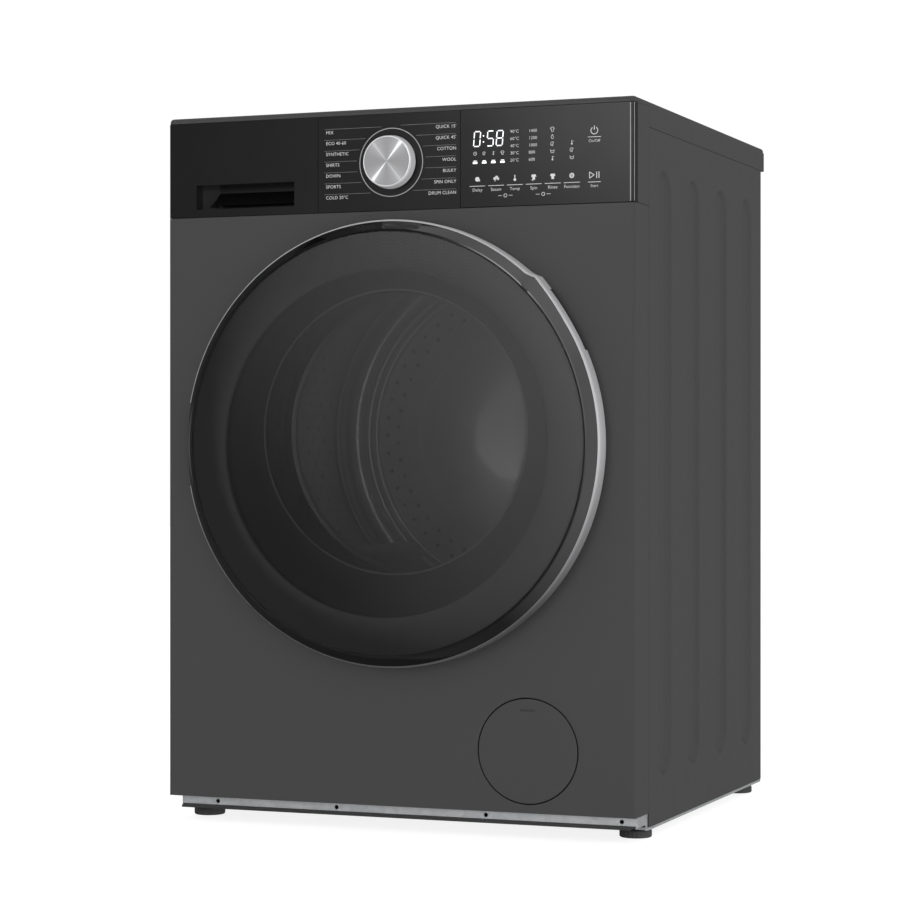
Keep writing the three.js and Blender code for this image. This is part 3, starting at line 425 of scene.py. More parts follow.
PAINT = painted("graphite_paint", 0.0505, 0.4)
FASCIA = glossy_plastic("fascia_plastic", 0.0125, 0.1, 1.17)
# Painted shade: near-black for what lies in shade, in the finger recess and the drum's back holes.
POCKET_SHADE = glossy_plastic("pocket_painted_shade", 0.004, 0.3, 1.2)
GLOSS_BLACK = glossy_plastic("gloss_black", 0.004, 0.05, 1.5)
SATIN_EDGE_PAINTED_LIGHT = satin_edge_painted_light()
COVER = see_through("tinted_cover", 0.006, 0.5, 1.5)
COVER_PRINT = moulded("cover_print", (0.1, 0.1, 0.102), 0.5, 0)
FUNNEL = moulded("funnel_black", (0.012, 0.012, 0.0123), 0.5, 0)
BOWL_EDGE = moulded("bowl_edge", (0.2, 0.2, 0.205), 0.4, 0)
GLASS = see_through("clear_glass", 0.004, 0.12, 1.4)
BLACK_PLASTIC = moulded("black_plastic", (0.014, 0.014, 0.015), 0.55)
GREY_PLASTIC = moulded("grey_plastic", (0.3, 0.31, 0.32), 0.5)
TRAY_WHITE = moulded("tray_plastic", (0.42, 0.43, 0.44), 0.45, 0.1)
SEAL_RUBBER = moulded("seal_rubber", (0.1, 0.105, 0.11), 0.7, 0.3, 800)
BLACK_RUBBER = moulded("black_rubber", (0.012, 0.012, 0.012), 0.75, 0.3, 600)
FOOT_RUBBER = moulded("foot_rubber", (0.02, 0.02, 0.02), 0.65, 0.3, 600)
BOARD = moulded("circuit_board", (0.02, 0.12, 0.05), 0.4, 0.05)
ZINC = galvanised("zinc_steel")
STEEL = brushed("steel", 0.38, (60, 60, 1500))
STAINLESS = brushed("stainless", 0.42, (1500, 8, 1500), 0.3)
CAST_ALUMINIUM = cast("cast_aluminium", 0.5, 0.9)
COIL = moulded("motor_lacquer", (0.05, 0.05, 0.05), 0.4)
KNOB_FACE = turned_metal_painted_fans("brushed_aluminium", 0.2, 0.8, at(DIAL_X, -14, DIAL_Z))
KNOB_SIDE = satin_metal("knob_side", 0.8, 0.25, 0.2)
# Painted highlight: the thin ring round the dial is given a faint glow for its glint.
DIAL_RING_GLINT = lit("dial_ring_painted_glint", (0.3, 0.3, 0.31), 0.12)
CONCRETE = concrete()
PRINT = lit("print_grey", (0.55, 0.55, 0.56), 0.2)
PRINT_LINE = lit("print_line", (0.13, 0.13, 0.13), 0.03)
# Painted highlight: a faintly glowing grey for the bright lines on the fascia's rounded end.
EDGE_HIGHLIGHT_PAINT = lit("painted_highlight_line", (0.2, 0.2, 0.2), 0.06)
PRINT_BRIGHT = lit("print_white", (0.85, 0.86, 0.88), 0.75)
FLOOR = floor_material()

# ---------------------------------------------------------------- mesh helpers


def own(name, bm, material, sharp=30):
    """A new object from a bmesh: merged, facing out, smooth but for edges sharper than the given angle."""
    bmesh.ops.remove_doubles(bm, verts=bm.verts, dist=1e-6)
    bmesh.ops.recalc_face_normals(bm, faces=bm.faces)
    obj = mesh_object(name, bm, material)
    smooth(obj, sharp)
    return obj


def smooth(obj, sharp=30):
    obj.data.shade_smooth()
    obj.data.set_sharp_from_angle(angle=math.radians(sharp))


def skin(name, rings, material, closed=True, loop=False, sharp=30):
    """Quads between neighbouring rings of points. Closed rings that don't loop get a cap at each end."""
    bm = bmesh.new()
    made = [[bm.verts.new(p) for p in ring] for ring in rings]
    count = len(rings[0])
    for i in range(len(rings) - (0 if loop else 1)):
        a, b = made[i], made[(i + 1) % len(rings)]
        for j in range(count if closed else count - 1):
            k = (j + 1) % count
            bm.faces.new((a[j], a[k], b[k], b[j]))
    if closed and not loop:
        bm.faces.new(made[0])
        bm.faces.new(reversed(made[-1]))
    bmesh.ops.remove_doubles(bm, verts=bm.verts, dist=1e-6)
    bmesh.ops.dissolve_degenerate(bm, dist=1e-7, edges=bm.edges)
    return own(name, bm, material, sharp)


def turns(start, stop, steps):
    """Angles in radians, from start to stop degrees with both ends included."""
    return [math.radians(start + (stop - start) * i / steps) for i in range(steps + 1)]


def around(radius, count, x=0.0, z=0.0, first=0.0):
    """Places spread evenly round a circle about (x, z), the first at that many degrees."""
    angles = [math.radians(first + 360 * i / count) for i in range(count)]
    return [(x + radius * math.cos(a), z + radius * math.sin(a)) for a in angles]


def soft(points, radius, steps=4):
    """The closed outline with its corners rounded, as far as its sides leave room."""
    made = []
    count = len(points)
    for i, point in enumerate(points):
        corner = Vector(point)
        u = Vector(points[i - 1]) - corner
        v = Vector(points[(i + 1) % count]) - corner
        angle = u.angle(v)
        if angle > math.radians(177):
            made.append(tuple(point))
            continue
        back = min(radius / math.tan(angle / 2), 0.45 * u.length, 0.45 * v.length)
        start, end = corner + u.normalized() * back, corner + v.normalized() * back
        centre = corner + (u.normalized() + v.normalized()).normalized() * back / math.cos(angle / 2)
        for k in range(steps + 1):
            arm = (start - centre).lerp(end - centre, k / steps)
            made.append(tuple(centre + arm.normalized() * (start - centre).length))
    return made


def lathe(name, profile, material, x=0.0, z=0.0, sides=128, sharp=30, grow=None):
    """A profile of (radius, depth) turned about the Y axis through x and z. It starts and ends on the axis,
    or closes on itself. A third number lifts that point's circle; grow(angle, point) adds to its radius."""
    on_axis = profile[0][0] == 0
    rings = []
    for i in range(sides):
        a = 2 * math.pi * i / sides
        ring = []
        for j, point in enumerate(profile):
            r = point[0] + (grow(a, j) if grow else 0)
            rise = point[2] if len(point) > 2 else 0
            ring.append(at(x + r * math.cos(a), point[1], z + rise + r * math.sin(a)))
        rings.append(ring)
    return skin(name, rings, material, closed=not on_axis, loop=True, sharp=sharp)


def lathe_up(name, profile, material, centre, sides=48, notch=None):
    """A profile of (radius, z) turned about an upright axis at (x, depth). It starts and ends on the axis, or
    closes on itself. notch(side, point) is taken off the radius."""
    on_axis = profile[0][0] == 0
    rings = []
    for i in range(sides):
        a = 2 * math.pi * i / sides
        ring = []
        for j, (radius, z) in enumerate(profile):
            r = radius - (notch(i, j) if notch else 0)
            ring.append(at(centre[0] + r * math.cos(a), centre[1] + r * math.sin(a), z))
        rings.append(ring)
    return skin(name, rings, material, closed=not on_axis, loop=True)


def prism(name, outline, low, high, axis, material, sharp=30):
    """An outline swept straight. Along y it is (x, z), along z (x, depth) and along x (depth, z)."""
    put = {
        "y": lambda p, t: at(p[0], t, p[1]),
        "z": lambda p, t: at(p[0], p[1], t),
        "x": lambda p, t: at(t, p[0], p[1]),
    }[axis]
    return skin(name, [[put(p, t) for p in outline] for t in (low, high)], material, sharp=sharp)


def block(name, x, depth, z, material):
    corners = [(x[0], depth[0]), (x[1], depth[0]), (x[1], depth[1]), (x[0], depth[1])]
    return prism(name, corners, z[0], z[1], "z", material)


def rod(name, radius, low, high, axis, centre, material, sides=32):
    """A round bar along an axis; centre is its place in that axis's outline coordinates."""
    return prism(name, around(radius, sides, *centre), low, high, axis, material)


def bake(obj):
    """Applies an object's modifiers to its mesh."""
    graph = bpy.context.evaluated_depsgraph_get()
    mesh = bpy.data.meshes.new_from_object(obj.evaluated_get(graph))
    old = obj.data
    obj.modifiers.clear()
    obj.data = mesh
    mesh.name = obj.name
    bpy.data.meshes.remove(old)
    smooth(obj)
    return obj


def discard(*objects):
    for obj in objects:
        mesh = obj.data
        bpy.data.objects.remove(obj)
        bpy.data.meshes.remove(mesh)


def combined(obj, operation, others):
    for other in others:
        modifier = obj.modifiers.new("boolean", "BOOLEAN")
        modifier.operation = operation
        modifier.solver = "MANIFOLD"
        modifier.object = other
    bake(obj)
    discard(*others)
    return obj


def cut(obj, *tools):
    return combined(obj, "DIFFERENCE", tools)


def add(obj, *others):
    return combined(obj, "UNION", others)


def eased(obj, width=0.5, segments=2, angle=40):
    """Rounds the object's edges a little, as real pressed and moulded edges are."""
    modifier = obj.modifiers.new("bevel", "BEVEL")
    modifier.width = width * MM
    modifier.segments = segments
    modifier.limit_method = "ANGLE"
    modifier.angle_limit = math.radians(angle)
    modifier.use_clamp_overlap = True
    return bake(obj)


def joined(name, parts):
    """Several separate solids as one object."""
    bm = bmesh.new()
    for part in parts:
        bm.from_mesh(part.data)
    finish = parts[0].data.materials[0]
    discard(*parts)
    return own(name, bm, finish)


def piece(obj, body, slot, *replaced):
    """Hands a finished piece to the frame, with the shading of its large flat faces kept flat."""
    modifier = obj.modifiers.new("flat_faces", "WEIGHTED_NORMAL")
    modifier.weight = 100
    modifier.keep_sharp = True
    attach(obj, body)
    if replaced:
        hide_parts(*replaced)


def stretching(obj, slot, node, bodies, start, end):
    """Hides the frame's node that the piece stands for and bakes the piece's place into its mesh; the bodies,
    start and end are not used.
    """
    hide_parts(node)
    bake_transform(obj)


def rectangle(x, z):
    return [(x[0], z[0]), (x[1], z[0]), (x[1], z[1]), (x[0], z[1])]


def sweep(name, path, radius, material, sides=12):
    """A round wire or pipe along points."""
    points = [Vector(p) for p in path]
    count = len(points)
    normal = Vector((1, 0, 0))
    rings = []
    for i, point in enumerate(points):
        ahead = points[min(i + 1, count - 1)] - points[max(i - 1, 0)]
        ahead.normalize()
        normal = (normal - ahead * normal.dot(ahead)).normalized()
        side = ahead.cross(normal)
        ring = []
        for j in range(sides):
            a = 2 * math.pi * j / sides
            ring.append(point + (normal * math.cos(a) + side * math.sin(a)) * radius * MM)
        rings.append(ring)
    return skin(name, rings, material, sharp=60)


def screw_head(x, depth, z, radius, facing="y-"):
    """A domed cross-head screw, lying against the face at that depth."""
    way = -1 if facing == "y-" else 1
    dome = [(0, depth + way * radius * 0.55), (radius * 0.6, depth + way * radius * 0.45)]
    rim = [(radius, depth + way * radius * 0.12), (radius, depth + way * 0.05), (0, depth + way * 0.05)]
    head = lathe("screw", dome + rim, STEEL, x, z, 24)
    depths = sorted((depth + way * radius * 0.3, depth + way * radius))
    long, short = radius * 0.55, radius * 0.12
    for across, up in ((long, short), (short, long)):
        cut(head, block("slot", (x - across, x + across), depths, (z - up, z + up), STEEL))
    return head


def screws(name, body, places, depth, radius, facing="y-"):
    heads = [screw_head(x, depth, z, radius, facing) for x, z in places]
    piece(joined(name, heads), body, "steel")


# ---------------------------------------------------------------- cabinet shell


def rounded_rectangle(x, z, radius, inset=0.0, steps=5):
    sides = rectangle((x[0] + inset, x[1] - inset), (z[0] + inset, z[1] - inset))
    return soft(sides, max(radius - inset, 0.2), steps)


def top_plate():
    edge, wall = 4.5, 2.2
    levels = [(0, TOP_UNDERSIDE), (0, HEIGHT - edge)]
    levels += [(edge * (1 - math.cos(a)), HEIGHT - edge + edge * math.sin(a)) for a in turns(18, 90, 4)]
    rings = []
    for inset, z in levels:
        outline = rounded_rectangle((-HALF, HALF), (0, TOP_DEPTH), 6, inset)
        rings.append([at(x, d, z) for x, d in outline])
    plate = skin("top_plate_skin", rings, PAINT)
    skirt_height = (SKIRT_BOTTOM, TOP_UNDERSIDE + 1)
    skirt = block("skirt", (-HALF, HALF), (RETURN_DEPTH + 0.4, TOP_DEPTH), skirt_height, PAINT)
    inner = (-HALF + wall, HALF - wall)
    hollow = block("hollow", inner, (wall, TOP_DEPTH - wall), (SKIRT_BOTTOM - 1, HEIGHT - 1.5), PAINT)
    cut(add(plate, eased(skirt, 0.8)), hollow)
    piece(eased(plate, 0.35, angle=50), "cabinet", "graphite_paint", "top_plate")


def folded_plan(thickness, depth):
    """Plan of a sheet that folds back round both front corners."""

    def bend(inset):
        r = CORNER_R - inset
        return [(HALF - CORNER_R + r * math.sin(a), CORNER_R - r * math.cos(a)) for a in turns(0, 90, 8)]

    def mirrored(points):
        return [(-x, d) for x, d in reversed(points)]

    outer = [*bend(0), (HALF, depth)]
    inner = [(HALF - thickness, depth), *reversed(bend(thickness))]
    return [*mirrored(outer), *outer, *inner, *mirrored(inner)]


def front_panel():
    inside = (-HALF + SHEET, HALF - SHEET)
    lip = (0.6, 14)
    sheet = prism("front_panel_skin", folded_plan(SHEET, RETURN_DEPTH), PANEL_BOTTOM, PANEL_TOP, "z", PAINT)
    sheet = eased(sheet, 0.3)
    flanges = [
        block("flange", inside, lip, (PANEL_BOTTOM, PANEL_BOTTOM + SHEET), PAINT),
        block("flange", inside, lip, (PANEL_TOP - SHEET, PANEL_TOP), PAINT),
    ]
    r, d = RECESS_R + SHEET, RECESS_D + SHEET
    cup = lathe("cup", [(0, 0.3), (r + 4, 0.3), (r, 4), (r, d), (0, d)], PAINT, 0, DOOR_Z)
    well, well_d = HATCH_R + 1.4, HATCH_RECESS_D
    outer, back = well + SHEET, well_d + SHEET
    small_cup = [(0, 0.3), (well + 2, 0.3), (outer, 2), (outer, back), (0, back)]
    add(sheet, *flanges, cup, lathe("cup", small_cup, PAINT, HATCH_X, HATCH_Z, 96))
    edge = [(0, -5), (r + 3, -5), (r + 3, -0.001), (r + 1.2, 0.5), (r - 0.4, 1.6), (RECESS_R, 4)]
    edge += [(RECESS_R, RECESS_D - 2), (RECESS_R - 2, RECESS_D), (0, RECESS_D)]
    small_edge = [(0, -5), (well + 0.4, -5), (well + 0.4, -0.001), (well, 0.4)]
    small_edge += [(well, well_d - 2), (well - 2, well_d), (0, well_d)]
    cut(sheet, lathe("tool", edge, PAINT, 0, DOOR_Z), lathe("tool", small_edge, PAINT, HATCH_X, HATCH_Z, 96))
    o = OPENING_R
    rim = [(0, 8), (o + SHEET - 0.6, 7), (o + SHEET, 7.6), (o + SHEET, 13), (0, 13)]
    add(sheet, lathe("lip", rim, PAINT, 0, DRUM_Z))
    holes = [
        lathe("tool", [(0, -5), (o, -5), (o, 30), (0, 30)], PAINT, 0, DRUM_Z),
        lathe("tool", [(0, -5), (40, -5), (40, 30), (0, 30)], PAINT, HATCH_X, HATCH_Z, 64),
        block("tool", (203, 232), (RECESS_D - 1, 30), (DOOR_Z - 9, DOOR_Z + 9), PAINT),
    ]
    cut(sheet, *holes)
    piece(sheet, "cabinet", "graphite_paint", "front_panel")


def side_panel(side, name):
    """Steel side with four upright channels whose edges slope in gently."""
    half_wide, slope, deep = 29, 6, 4
    ends, fine, coarse = (67, 779), 2, 80
    centres = [112 + 121.3 * i for i in range(4)]
    low, high = ends[0] + half_wide, ends[1] - half_wide

    def sink(d, z):
        level = 0
        for a in centres:
            outside = math.hypot(d - a, z - min(max(z, low), high)) - half_wide
            t = min(max(-outside / slope, 0), 1)
            level = max(level, t * t * (3 - 2 * t))
        return deep * level

    def steps(start, stop, size):
        count = max(1, round((stop - start) / size))
        return [start + (stop - start) * i / count for i in range(count)]

    front, above = RETURN_DEPTH + 0.4, ends[1] + 3
    depths = steps(front, BODY_DEPTH, fine) + [BODY_DEPTH]
    heights = [SIDE_BOTTOM, *steps(ends[0] - 3, low, fine), *steps(low, high, coarse)]
    heights += [*steps(high, above, fine), above, SIDE_TOP]
    bm = bmesh.new()
    layers = []
    for inner in (0, SHEET):
        layer = []
        for z in heights:
            layer.append([bm.verts.new(at(side * (HALF - inner - sink(d, z)), d, z)) for d in depths])
        layers.append(layer)
    rows, columns = len(heights), len(depths)
    for layer in layers:
        for i in range(rows - 1):
            for j in range(columns - 1):
                bm.faces.new((layer[i][j], layer[i][j + 1], layer[i + 1][j + 1], layer[i + 1][j]))
    rim = [(0, j) for j in range(columns)] + [(i, columns - 1) for i in range(1, rows)]
    rim += [(rows - 1, j) for j in range(columns - 2, -1, -1)] + [(i, 0) for i in range(rows - 2, 0, -1)]
    for (i, j), (k, l) in zip(rim, rim[1:] + rim[:1]):
        bm.faces.new((layers[0][i][j], layers[0][k][l], layers[1][k][l], layers[1][i][j]))
    sheet = own(name + "_skin", bm, PAINT)
    inward = sorted((side * (HALF - 8), side * (HALF - 0.6)))
    folds = [
        block("fold", inward, (front + 0.1, front + SHEET), (BASE_TOP + 1, SIDE_TOP - 0.1), PAINT),
        block("fold", inward, (front + 0.1, BODY_DEPTH - 2), (SIDE_TOP - SHEET, SIDE_TOP - 0.1), PAINT),
    ]
    piece(add(sheet, *folds), "cabinet", "graphite_paint", name)


def rear_panel():
    back = BODY_DEPTH
    low, high = back - 2, back + 7.7
    outer = (-HALF + 1.6, HALF - 1.6)
    sheet = block("rear_panel_skin", outer, (back - SHEET, back), (SIDE_BOTTOM, SIDE_TOP), ZINC)
    bulge = [(0, high), (147, high), (151, high - 1), (160, back + 1), (166, back - 0.3), (0, back - 0.3)]
    hollow = [(0, high - SHEET), (146, high - SHEET), (150, high - 2), (159, back), (163, low), (0, low)]
    add(sheet, lathe("bulge", bulge, ZINC, 0, DRUM_Z))
    transit = [(x, DRUM_Z + rise) for x in (-165, 165) for rise in (-150, 150)]
    tools = [lathe("tool", hollow, ZINC, 0, DRUM_Z)]
    tools += [rod("tool", 11, low - 5, high, "y", place, ZINC) for place in transit]
    for node, radius in (("inlet_valve", 16), ("drain_outlet", 12), ("cable_gland", 8.5)):
        centre = middle(node)
        tools.append(rod("tool", radius, low - 5, high, "y", (centre.x, centre.z), ZINC))
    for i in range(9):
        for z in (640, 660):
            x = -40 + i * 10
            tools.append(prism("tool", soft(rectangle((x, x + 4), (z, z + 14)), 2), low, high, "y", ZINC))
    cut(sheet, *tools)
    piece(eased(sheet, 0.25, angle=50), "cabinet", "zinc_steel", "rear_panel")
    places = [(x, z) for x in (-284, 284) for z in (40, 240, 440, 640, 800)]
    places += [(x, z) for z in (25, 808) for x in (-150, 0, 150)]
    places += around(175, 8, 0, DRUM_Z, 22.5)
    screws("rear_screws", "cabinet", places, back, 4.2, "y+")
    cap = [(0, back + 3), (9, back + 3), (14, back + 1.4), (15, back + 0.05), (0, back + 0.05)]
    caps = [lathe("cap", cap, BLACK_PLASTIC, x, z, 40) for x, z in transit]
    piece(joined("transit_caps", caps), "cabinet", "black_plastic")


def base_frame():
    """Zinc channel round the bottom, with the rail's holes and slots seen below the front panel."""
    inner, back, rail, wall = HALF - 1.6, BODY_DEPTH - 1.6, 285, 1.5
    z, room = (17.5, BASE_TOP), (19, 28)
    front, behind = BASE_FRONT, BASE_FRONT + 34
    channel = block("base_frame_skin", (-rail, rail), (front, 30), z, ZINC)
    add(channel, block("rail", (-rail, rail), (back - 19, back), z, ZINC))
    cut(channel,
        block("tool", (-rail - 2, rail + 2), (front + wall, 31), room, ZINC),
        block("tool", (-rail - 2, rail + 2), (back - 20, back - wall), room, ZINC))
    add(channel,
        block("corner", (rail - 1, inner), (front, front + wall), z, ZINC),
        block("corner", (inner - wall, inner), (front, behind + 2), z, ZINC))
    shelf = (z[0], z[0] + 3)
    webs = [
        ((inner - wall, inner), (behind, back), (10.5, BASE_TOP)),
        ((rail - 1, inner - 1), (behind, back), (BASE_TOP - wall, BASE_TOP)),
        ((rail - 4, HALF - 0.1), (RETURN_DEPTH + 0.4, back), (10.5, 13.6)),
        ((255, rail), (front, 95), shelf),
        ((255, inner - 1), (485, back), shelf),
    ]
    for side in (-1, 1):
        add(channel, *[block("web", sorted((side * a, side * b)), d, up, ZINC) for (a, b), d, up in webs])
    slots = (-236.8, -79.6, 110.9)
    holes = [rod("tool", 2.6, -1, front + 5, "y", (x, 24), ZINC) for x in (*slots, 277.1)]
    holes += [block("tool", (x - 7, x - 3), (-1, front + 5), (16, 18.6), ZINC) for x in slots]
    stems = [tuple(middle(foot).xy) for foot in FEET]
    holes += [rod("tool", 5.4, 0, 40, "z", stem, ZINC) for stem in stems]
    cut(channel, *holes)
    piece(eased(channel, 0.3, angle=50), "cabinet", "zinc_steel", "base_frame")
    pan = ((-rail + 1, inner - 2), (front - 0.6, front - 0.1), (17.6, 19.6))
    piece(block("base_pan_edge", *pan, BLACK_PLASTIC), "cabinet", "black_plastic")
    nuts = []
    for stem in stems:
        nut = rod("nut", 9, 20.6, 28, "z", stem, STEEL, 6)
        nuts.append(eased(cut(nut, rod("tool", 5.3, 0, 40, "z", stem, STEEL)), 0.5))
    piece(joined("weld_nuts", nuts), "cabinet", "steel")


def foot(name):
    """Rubber pad with a ribbed edge, on a threaded stem with a lock nut."""
    centre = tuple(middle(name).xy)
    radius = span(name)[1].x - centre[0]
    pad = [(0, 0), (radius - 1.5, 0), (radius - 0.3, 0.8), (radius, 2), (radius, 7.2), (radius - 1, 8.8)]
    pad += [(radius - 3.5, 9.6), (10, 9.6), (0, 9.6)]

    def notch(side, point):
        return 0.5 if side % 4 < 2 and point in (3, 4) else 0

    made = lathe_up(name + "_pad", pad, FOOT_RUBBER, centre, 96, notch)
    piece(made, name, "foot_rubber", name)
    pitch, root, crest, start, top = 1.75, 4.3, 5, 9.7, 39.9
    stem = [(0, start)]
    for k in range(17):
        z = start + pitch * k
        stem += [(root, z), (crest, z + pitch / 2)]
    thread = lathe_up("thread", [*stem, (root, top), (0, top)], STEEL, centre, 24)
    nut = rod("nut", 10, 10.4, 15.6, "z", centre, STEEL, 6)
    cut(nut, rod("tool", 5.2, 0, 40, "z", centre, STEEL))
    piece(joined(name + "_stem", [thread, eased(nut, 0.5)]), name, "steel")


# ---------------------------------------------------------------- fascia, drawer and dial


def fascia_plan(seam):
    """Plan of the end panels: flat from the seam, then curling back round the cabinet's corner."""
    r, thick, back = CORNER_R, 3.5, 8.1
    bend = turns(0, 90, 8)
    outer = [(HALF - r + r * math.sin(a), r - r * math.cos(a)) for a in bend]
    inner = [(HALF - r + (r - thick) * math.sin(a), r - (r - thick) * math.cos(a)) for a in reversed(bend)]
    return [(seam, 0), *outer, (HALF, back), (HALF - thick, back), *inner, (seam, thick)]


def display_panel():
    panel = prism("display_panel_skin", fascia_plan(SEAM_RIGHT + 0.4), FASCIA_BOTTOM, FASCIA_TOP, "z", FASCIA)
    groove = block("tool", (HALF - 6.2, HALF - 5.4), (-1, 1.2), (FASCIA_BOTTOM - 1, FASCIA_TOP + 1), FASCIA)
    piece(eased(cut(panel, groove), 0.4), "cabinet", "fascia_plastic", "display_panel")


def dial_panel():
    panel = block("dial_panel_skin", (SEAM_LEFT, SEAM_RIGHT), (0, 3.5), (FASCIA_BOTTOM, FASCIA_TOP), FASCIA)
    hole = rod("tool", 4, -1, 10, "y", (DIAL_X, DIAL_Z), FASCIA)
    well = lathe("tool", [(0, -1), (33.6, -1), (33.6, 0.6), (0, 0.6)], FASCIA, DIAL_X, DIAL_Z, 96)
    piece(eased(cut(panel, hole, well), 0.3), "cabinet", "fascia_plastic", "dial_panel")
    # A real thin ring round the dial well; its pale glowing colour is a painted glint.
    ring = [(39.7, -0.18), (40.5, -0.18), (40.6, -0.05), (39.6, -0.05)]
    piece(lathe("dial_ring", ring, DIAL_RING_GLINT, DIAL_X, DIAL_Z, 160), "cabinet", "brushed_aluminium")


def knob():
    f = span("program_knob")[0].y
    face = [(0, f + 0.35), (28.2, f + 0.35), (28.4, f + 0.9), (0, f + 0.9)]
    piece(lathe("knob_face", face, KNOB_FACE, DIAL_X, DIAL_Z, 160), "dial", "brushed_aluminium")
    rim = [(0, f + 0.95), (28.5, f + 0.95), (28.6, f + 0.25), (28.9, f), (29.5, f + 0.1)]
    wall = [(29.8, f + 0.6), (29.9, f + 1.6), (29.3, f + 2), (29.3, f + 2.6), (30.1, f + 3)]
    wall += [(31.4, -3.4), (31.7, -1.4), (31.2, -0.9), (3, -0.9), (3, 17.4), (0, 17.4)]
    body = lathe("knob_body", rim + wall, KNOB_SIDE, DIAL_X, DIAL_Z, 160, sharp=40)
    piece(body, "dial", "brushed_aluminium", "program_knob")


def drawer_front():
    """End panel of the fascia with the recess for the fingers, which slopes in from the left."""
    x, z, depth = PULL_X, PULL_Z, PULL_DEPTH
    wall, reach = 2, 19
    plan = [(-px, d) for px, d in reversed(fascia_plan(-SEAM_LEFT + 0.6))]
    panel = prism("drawer_front_skin", plan, FASCIA_BOTTOM, FASCIA_TOP, "z", FASCIA)
    cup = rounded_rectangle((x[0] - wall, x[1] + wall), (z[0] - wall, z[1] + wall), 6)
    add(panel, prism("cup", cup, 1, depth + wall, "y", FASCIA))
    ramp = [(x[0] + reach * t, depth * t**0.6) for t in (i / 14 for i in range(15))]
    outline = [(x[1], -4), (x[1], depth), *reversed(ramp), (x[0], -4)]
    cut(panel, prism("tool", soft(outline, 1.2, 2), z[0], z[1], "z", FASCIA))
    panel = eased(panel, 0.3, angle=50)
    smooth(panel, 22)
    piece(panel, "drawer", "fascia_plastic", "drawer_front")
    # Painted shade: a near-black sheet at the back of the finger recess, and the recess's lip in the same
    # near-black.
    left, right = x[0] + reach + 1, x[1] - 0.4
    shade_outline = soft(rectangle((left, right), (z[0] + 0.4, z[1] - 0.4)), 1)
    piece(prism("pull_painted_shade", shade_outline, depth - 0.25, depth - 0.1, "y", POCKET_SHADE), "drawer", "fascia_plastic")
    slope = [(12, z[0] + 5.5), (13.5, z[0] + 4.5), (depth - 0.3, z[0] + 17.5), (depth - 0.3, z[0] + 21)]
    lip = prism("pull_lip", slope, left, right, "x", POCKET_SHADE)
    piece(eased(lip, 0.4), "drawer", "fascia_plastic")


def drawer_tray():
    """Tray with three compartments and a siphon cap in two of them."""
    low, high = span("drawer_tray")
    floor_z, wall = low.z + 2.5, 2.5
    tray = block("drawer_tray_skin", (low.x, high.x), (low.y, high.y), (low.z, high.z), TRAY_WHITE)
    room_x, room_z = (PULL_X[0] - 5, PULL_X[1] + 5), (low.z - 3, PULL_Z[1] + 5.3)
    room = block("tool", room_x, (0, PULL_DEPTH + 4), room_z, TRAY_WHITE)
    cells = []
    for x0, x1 in ((low.x + wall, -226), (-223.5, -171.5), (-169, high.x - wall)):
        outline = rounded_rectangle((x0, x1), (32, high.y - wall), 8)
        cells.append(eased(prism("tool", outline, floor_z, high.z + 2, "z", TRAY_WHITE), 3, 4, 60))
    cut(tray, room, *cells)
    piece(eased(tray, 0.5, angle=50), "drawer", "grey_plastic", "drawer_tray")
    caps = []
    for x in (-197.5, -143):
        cap = soft(rectangle((x - 12, x + 12), (250, 276)), 8)
        caps.append(eased(prism("cap", cap, floor_z + 0.1, floor_z + 52, "z", TRAY_WHITE), 2, 3, 60))
    piece(joined("siphon_caps", caps), "drawer", "grey_plastic")


# ---------------------------------------------------------------- print on the fascia


class Marks:
    """Flat marks printed on the face at the front panel's depth, gathered into one mesh."""

    back, front = -0.02, -0.07

    def __init__(self):
        self.bm = bmesh.new()

    def shape(self, outline):
        rings = []
        for depth in (self.back, self.front):
            rings.append([self.bm.verts.new(at(x, depth, z)) for x, z in outline])
        self.bm.faces.new(rings[0])
        self.bm.faces.new(reversed(rings[1]))
        for i in range(len(outline)):
            j = (i + 1) % len(outline)
            self.bm.faces.new((rings[0][i], rings[0][j], rings[1][j], rings[1][i]))

    def line(self, a, b, width):
        a, b = Vector(a), Vector(b)
        side = (b - a).orthogonal().normalized() * width / 2
        self.shape([tuple(a + side), tuple(b + side), tuple(b - side), tuple(a - side)])

    def path(self, points, width, closed=False):
        ends = points + points[:1] if closed else points
        for a, b in zip(ends, ends[1:]):
            self.line(a, b, width)

    def arc(self, x, z, radius, width, start=0, stop=360, steps=20):
        points = [(x + radius * math.cos(a), z + radius * math.sin(a)) for a in turns(start, stop, steps)]
        self.path(points, width)

    def dot(self, x, z, radius, steps=16):
        self.shape(around(radius, steps, x, z))

    def bar(self, x, z, width, height):
        self.shape(rectangle((x - width / 2, x + width / 2), (z - height / 2, z + height / 2)))

    def text(self, words, x, z, height, align="LEFT"):
        """A word whose capitals are height tall and stand on z."""
        data = bpy.data.curves.new("word", "FONT")
        data.body = words
        data.size = height * MM / 0.69
        data.align_x = align
        data.resolution_u = 3
        data.offset = -0.04 * MM
        data.extrude = 0.02 * MM
        data.space_character = 1.03
        obj = placed("word", data)
        obj.rotation_euler = (math.radians(90), 0, 0)
        obj.location = at(x, self.back - 0.025, z)
        bpy.context.view_layer.update()
        graph = bpy.context.evaluated_depsgraph_get()
        mesh = bpy.data.meshes.new_from_object(obj.evaluated_get(graph))
        mesh.transform(obj.matrix_world)
        self.bm.from_mesh(mesh)
        bpy.data.objects.remove(obj)
        bpy.data.curves.remove(data)
        bpy.data.meshes.remove(mesh)

    def finish(self, name, material):
        bmesh.ops.recalc_face_normals(self.bm, faces=self.bm.faces)
        piece(mesh_object(name, self.bm, material), "cabinet", "fascia_plastic")


